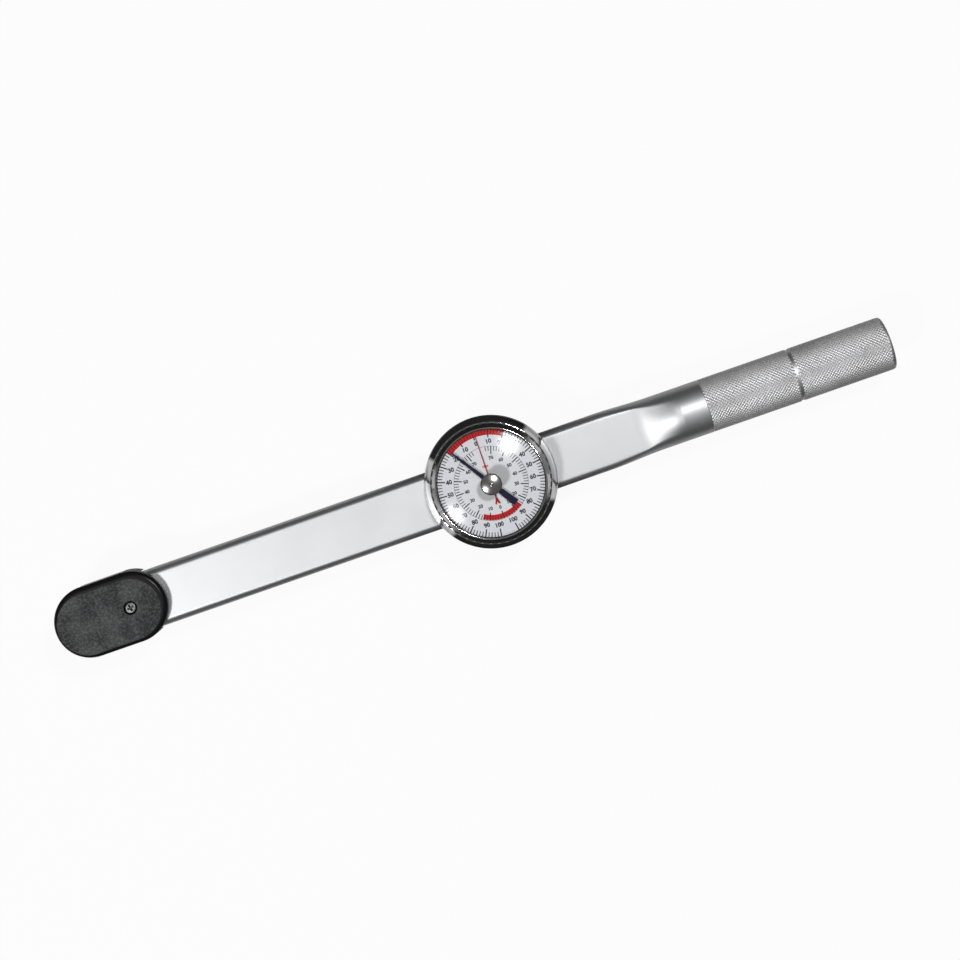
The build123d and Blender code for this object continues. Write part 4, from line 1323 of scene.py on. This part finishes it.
@dataclass
class DialPrint:
    """The dial's two scales, their numbers and red bands, raised as thin print."""

    face: float = 33.05
    ink: float = 0.02
    tick_step: int = 2
    number_step: int = 10
    circle: Pair = (17.34, 17.46)
    scales: tuple[Scale, ...] = (
        Scale(92.0, 1.7, 100, 25.2, 22.9, 21.5, 19.7, 2.8, (22.7, 25.1), 20, 0.38, 0.56),
        Scale(272.0, 2.28, 74, 17.4, 15.2, 13.7, 11.9, 2.2, (14.7, 17.2), 15, 0.34, 0.5),
    )
    units: tuple[tuple[str, float], ...] = (("N m", 8.4), ("ft lb", -9.6))
    unit_height: float = 1.6
    degrees_per_step: float = 3.0
    least_steps: int = 8

    def place(self, scale: Scale, unit: int, radius: float, upright: bool) -> Matrix:
        """Returns where a mark or a number goes.

        Args:
            scale: The scale.
            unit: The value that it stands for.
            radius: Its middle's distance from the dial's axis.
            upright: Whether it stands as the wrench lies, not along the radius.

        Returns:
            Its place as a matrix.
        """
        angle = scale.zero_angle - unit * scale.degrees_per_unit
        x, y = radius * math.cos(math.radians(angle)), radius * math.sin(math.radians(angle))
        return spot(DIAL_X + x, y, self.face + self.ink, 0.0 if upright else angle)

    def marks(self, solid: Solid, scale: Scale) -> None:
        """Adds a scale's ticks on both sides of its zero.

        Args:
            solid: The black print.
            scale: The scale.
        """
        for unit in range(-scale.last, scale.last + 1, self.tick_step):
            major = unit % self.number_step == 0
            inner = scale.major_inner if major else scale.minor_inner
            width = scale.major_width if major else scale.minor_width
            place = self.place(scale, unit, (scale.outer + inner) / 2, False)
            solid.bar((scale.outer - inner, width, 2 * self.ink), place)

    def numbers(self, solid: Solid, scale: Scale) -> None:
        """Adds a scale's numbers, upright as the wrench lies.

        Args:
            solid: The black print.
            scale: The scale.
        """
        last = scale.last // self.number_step * self.number_step
        for unit in range(-last, last + 1, self.number_step):
            place = self.place(scale, unit, scale.number_radius, True)
            solid.text(str(abs(unit)), scale.number_height, self.ink, place)

    def ring(self, solid: Solid, radii: Pair, start: float, sweep: float, layers: int) -> None:
        """Adds a flat arc of print.

        Args:
            solid: The print that takes it.
            radii: Its inner and outer radius.
            start: Its first angle in degrees.
            sweep: Its angle in degrees.
            layers: How many layers of ink thick it is.
        """
        (inner, outer), low, high = radii, self.face, self.face + layers * self.ink
        profile = [(inner, low), (outer, low), (outer, high), (inner, high)]
        steps = max(self.least_steps, round(sweep / self.degrees_per_step))
        solid.turn(profile, steps, DIAL_X, True, start, sweep)

    def build(self) -> None:
        """Makes the black and the red print."""
        black, red = Solid("dial_print_black"), Solid("dial_print_red")
        for scale in self.scales:
            self.marks(black, scale)
            self.numbers(black, scale)
            half = scale.band_units * scale.degrees_per_unit
            self.ring(red, scale.band, scale.zero_angle - half, 2 * half, 1)
        self.ring(black, self.circle, 0.0, 360.0, 2)
        for words, y in self.units:
            red.text(words, self.unit_height, self.ink, spot(DIAL_X, y, self.face + self.ink))
        for solid, finish in ((black, PRINT_BLACK), (red, PRINT_RED)):
            bmesh.ops.recalc_face_normals(solid.mesh, faces=solid.mesh.faces)
            dressed(solid.thing(), Dress(Body.BEZEL, finish, "dial_white", (), 32.0, False))


@dataclass
class MemoryKnob:
    """The polished knob on the crystal, with the dimple in its crown."""

    bottom: float = 38.75
    radius: float = 5.1
    height: float = 3.9
    rim: float = 3.0
    foot: Profile = ((0.0, 0.0), (4.7, 0.0), (5.0, 0.3), (5.1, 0.7))
    shoulder: float = 0.7
    shoulder_steps: int = 6
    dimple: float = 0.62
    dimple_depth: float = 0.35
    dimple_steps: int = 6
    dome_steps: int = 18
    steps: int = 96

    def build(self) -> None:
        """Makes the knob."""
        sphere = sphere_of(self.radius, self.height - self.rim)
        edge = self.radius - self.shoulder
        crown = dome(self.height, sphere, edge, self.dimple, self.dome_steps)
        tilt = 90.0 - math.degrees(math.asin(edge / sphere))
        corner = (edge, crown[0][1] - self.shoulder)
        rounding = arc(corner, self.shoulder, 0.0, tilt, self.shoulder_steps)
        profile = [*self.foot, *rounding[:-1], *crown[1:]]
        dimple_edge = crown[-1][1]
        for step in range(1, self.dimple_steps + 1):
            share = step / self.dimple_steps
            depth = self.dimple_depth * math.sin(math.pi / 2 * share)
            profile.append((self.dimple * (1 - share), dimple_edge - depth))
        solid = Solid("knob_polished")
        raised = [(radius, self.bottom + z) for radius, z in profile]
        solid.turn(raised, self.steps, DIAL_X, False)
        dress = Dress(Body.MEMORY, KNOB_DARKENED_CHROME, "polished_knob", ("memory_knob",), 50.0)
        dressed(solid.joined().thing(), dress)


# --- Carried-over nodes ---

BEARING_NODES = ("beam_saddle", "handle_plug", "beam_pins", "sensing_arm", "arm_pin")
TURNING_NODES = ("detent_ball", "sector_arbor", "pinion", "dial_retainer", "memory_shaft")
SCREW_NODES = ("saddle_screws", "case_screws", "bridge_screws", "arm_screws")
MOVEMENT_NODES = ("movement_plate", "movement_pillars", "movement_bridge", "hairspring_stud")
KEPT_NODES: dict[Finish, Sequence[str]] = {
    GROUND_STEEL: BEARING_NODES + TURNING_NODES,
    SCREW_STEEL: SCREW_NODES,
    SPRING_STEEL: ("snap_ring",),
    BRASS: MOVEMENT_NODES + ("sector_gear", "hairspring_collet"),
    BRONZE: ("pivot_bushes",),
    COIL_BRONZE: ("hairspring",),
    POINTER_RED: ("live_pointer",),
    POINTER_NAVY: ("memory_pointer",),
    DIAL_WHITE: ("dial_face",),
    RUBBER: ("crystal_gasket",),
    NYLON: ("friction_washer",),
}


def dress_kept_nodes() -> None:
    """Gives every node that stays as the part has it its finish."""
    for finish, names in KEPT_NODES.items():
        for name in names:
            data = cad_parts[name].data
            data.materials.clear()
            data.materials.append(finish.material())
            LOG.info("%s keeps the part's shape in %s", name, finish.name)


# --- Studio ---


@dataclass
class Studio:
    """Floor, sky, lamps and camera."""

    eye: Triple = (215.0, 59.0, 1080.0)
    roll: float = 19.2
    lens: float = 84.2
    shift: Pair = (0.0, -0.132)
    clips: Pair = (0.05, 50.0)
    floor_height: float = -15.6
    floor_size: float = 8000.0
    # Painted reflections: as mirrors see it, the floor fades from grey to near black aside and in
    # a disc round the dial.
    reflected_floor_fade: Pair = (50.0, 85.0)
    reflected_dark_disc: Pair = (66.0, 90.0)
    reflected_dark_disc_wings: Pair = (0.57, 0.64)
    floor_and_reflected_tones: tuple[Triple, Triple, Triple] = ((0.82,) * 3, (0.62,) * 3, (0.02,) * 3)
    floor_glow: float = 0.93
    white: Triple = (1.0, 1.0, 1.0)
    horizon: float = 0.06
    overhead: float = 0.16
    sky_rise: Pair = (0.1, 0.95)
    lamps: tuple[tuple[Triple, float, float], ...] = (
        ((0.276, 0.26, 0.925), 0.24, 70.0),
        ((-0.469, -0.238, 0.85), 0.24, 78.0),
    )
    lamp_aim: Triple = (DIAL_X, 0.0, 30.0)
    lamp_distance: float = 1.6

    def camera(self) -> None:
        """Makes the camera at the photograph's angle of view."""
        data = bpy.data.cameras.new("camera")
        data.lens = self.lens
        data.shift_x, data.shift_y = self.shift
        data.clip_start, data.clip_end = self.clips
        made = linked("camera", data)
        made.matrix_world = spot(*(Vector(self.eye) * MM), -self.roll)
        bpy.context.scene.camera = made

    def sky(self) -> None:
        """Makes the room's light: pale overhead, dark at the horizon, white to the camera."""
        world = bpy.data.worlds.new("room")
        world.use_nodes = True
        bpy.context.scene.world = world
        paint = Paint(world.node_tree)
        share = paint.axis(paint.place("Generated"), 2).ramp(*self.sky_rise)
        level = self.horizon + (self.overhead - self.horizon) * share
        camera = paint.node("ShaderNodeLightPath", output="Is Camera Ray")
        room, white = (
            paint.node("ShaderNodeBackground", inputs={"Color": self.white, "Strength": strength})
            for strength in (level, 1.0)
        )
        mixed = paint.node("ShaderNodeMixShader", inputs={0: camera, 1: room, 2: white})
        paint.node("ShaderNodeOutputWorld", inputs={"Surface": mixed})

    def floor(self) -> None:
        """Makes the pale floor: white to the camera, taking a shadow, and painted reflections to
        mirrors.
        """
        solid = Solid("studio_floor")
        size = self.floor_size / 2
        bmesh.ops.create_grid(solid.mesh, x_segments=1, y_segments=1, size=size)
        plane = solid.thing()
        middle = Vector((DIAL_X, 0.0, self.floor_height)) * MM
        plane.data.transform(Matrix.Translation(middle) @ Matrix.Scale(MM, 4))
        material = bpy.data.materials.new("studio_white")
        material.use_nodes = True
        paint = Paint(material.node_tree)
        camera = paint.node("ShaderNodeLightPath", output="Is Camera Ray")
        mirrored = paint.node("ShaderNodeLightPath", output="Is Glossy Ray")
        # Painted reflection: to glossy rays the floor is grey near the wrench and near black
        # further aside and in a disc round the dial, so the chrome mirrors dark there.
        side = paint.axis(paint.place(), 1)
        side = (side * side) ** 0.5
        reach = paint.reach(DIAL_X)
        dark_disc_reflection = 1.0 - reach.ramp(*(edge * MM for edge in self.reflected_dark_disc))
        dark_disc_reflection = dark_disc_reflection * (side / reach).ramp(*self.reflected_dark_disc_wings)
        reflected_fade_aside = side.ramp(*(edge * MM for edge in self.reflected_floor_fade))
        pale, reflected_near_tone, reflected_far_tone = self.floor_and_reflected_tones
        painted_reflection_tone = paint.mixed(reflected_fade_aside + dark_disc_reflection - reflected_fade_aside * dark_disc_reflection, reflected_near_tone, reflected_far_tone)
        floor_or_reflection_tone = paint.mixed(mirrored, pale, painted_reflection_tone)
        matte = paint.node("ShaderNodeBsdfDiffuse", inputs={"Color": floor_or_reflection_tone})
        glow = {"Color": self.white, "Strength": 1.0}
        white = paint.node("ShaderNodeEmission", inputs=glow)
        share = self.floor_glow * camera
        mixed = paint.node("ShaderNodeMixShader", inputs={0: share, 1: matte, 2: white})
        paint.node("ShaderNodeOutputMaterial", inputs={"Surface": mixed})
        plane.data.materials.append(material)

    def lights(self) -> None:
        """Makes the two soft boxes."""
        aim = Vector(self.lamp_aim) * MM
        for index, (direction, size, radiance) in enumerate(self.lamps):
            back = Vector(direction).normalized()
            data = bpy.data.lights.new(f"softbox_{index}", "AREA")
            data.shape = "DISK"
            data.size = size
            data.energy = radiance * (math.pi * size / 2) ** 2
            lamp = linked(data.name, data)
            turn = back.to_track_quat("Z", "Y").to_matrix().to_4x4()
            lamp.matrix_world = Matrix.Translation(aim + back * self.lamp_distance) @ turn
            lamp.visible_camera = False

    def build(self) -> None:
        """Makes the whole studio."""
        self.camera()
        self.sky()
        self.floor()
        self.lights()
        bpy.context.scene.view_settings.view_transform = "Standard"


def main() -> None:
    """Builds the studio and every piece in order."""
    logging.basicConfig(level=logging.INFO, format="%(message)s")
    makers: list[Callable[[], None]] = [
        Studio().build,
        FrameTube().build,
        KnurledGrip().build,
        DialCase().build,
        DriveEnd().build,
        BezelRing().build,
        CrystalDome().build,
        DialPrint().build,
        MemoryKnob().build,
        dress_kept_nodes,
    ]
    for make in makers:
        make()


if __name__ == "__main__":
    main()
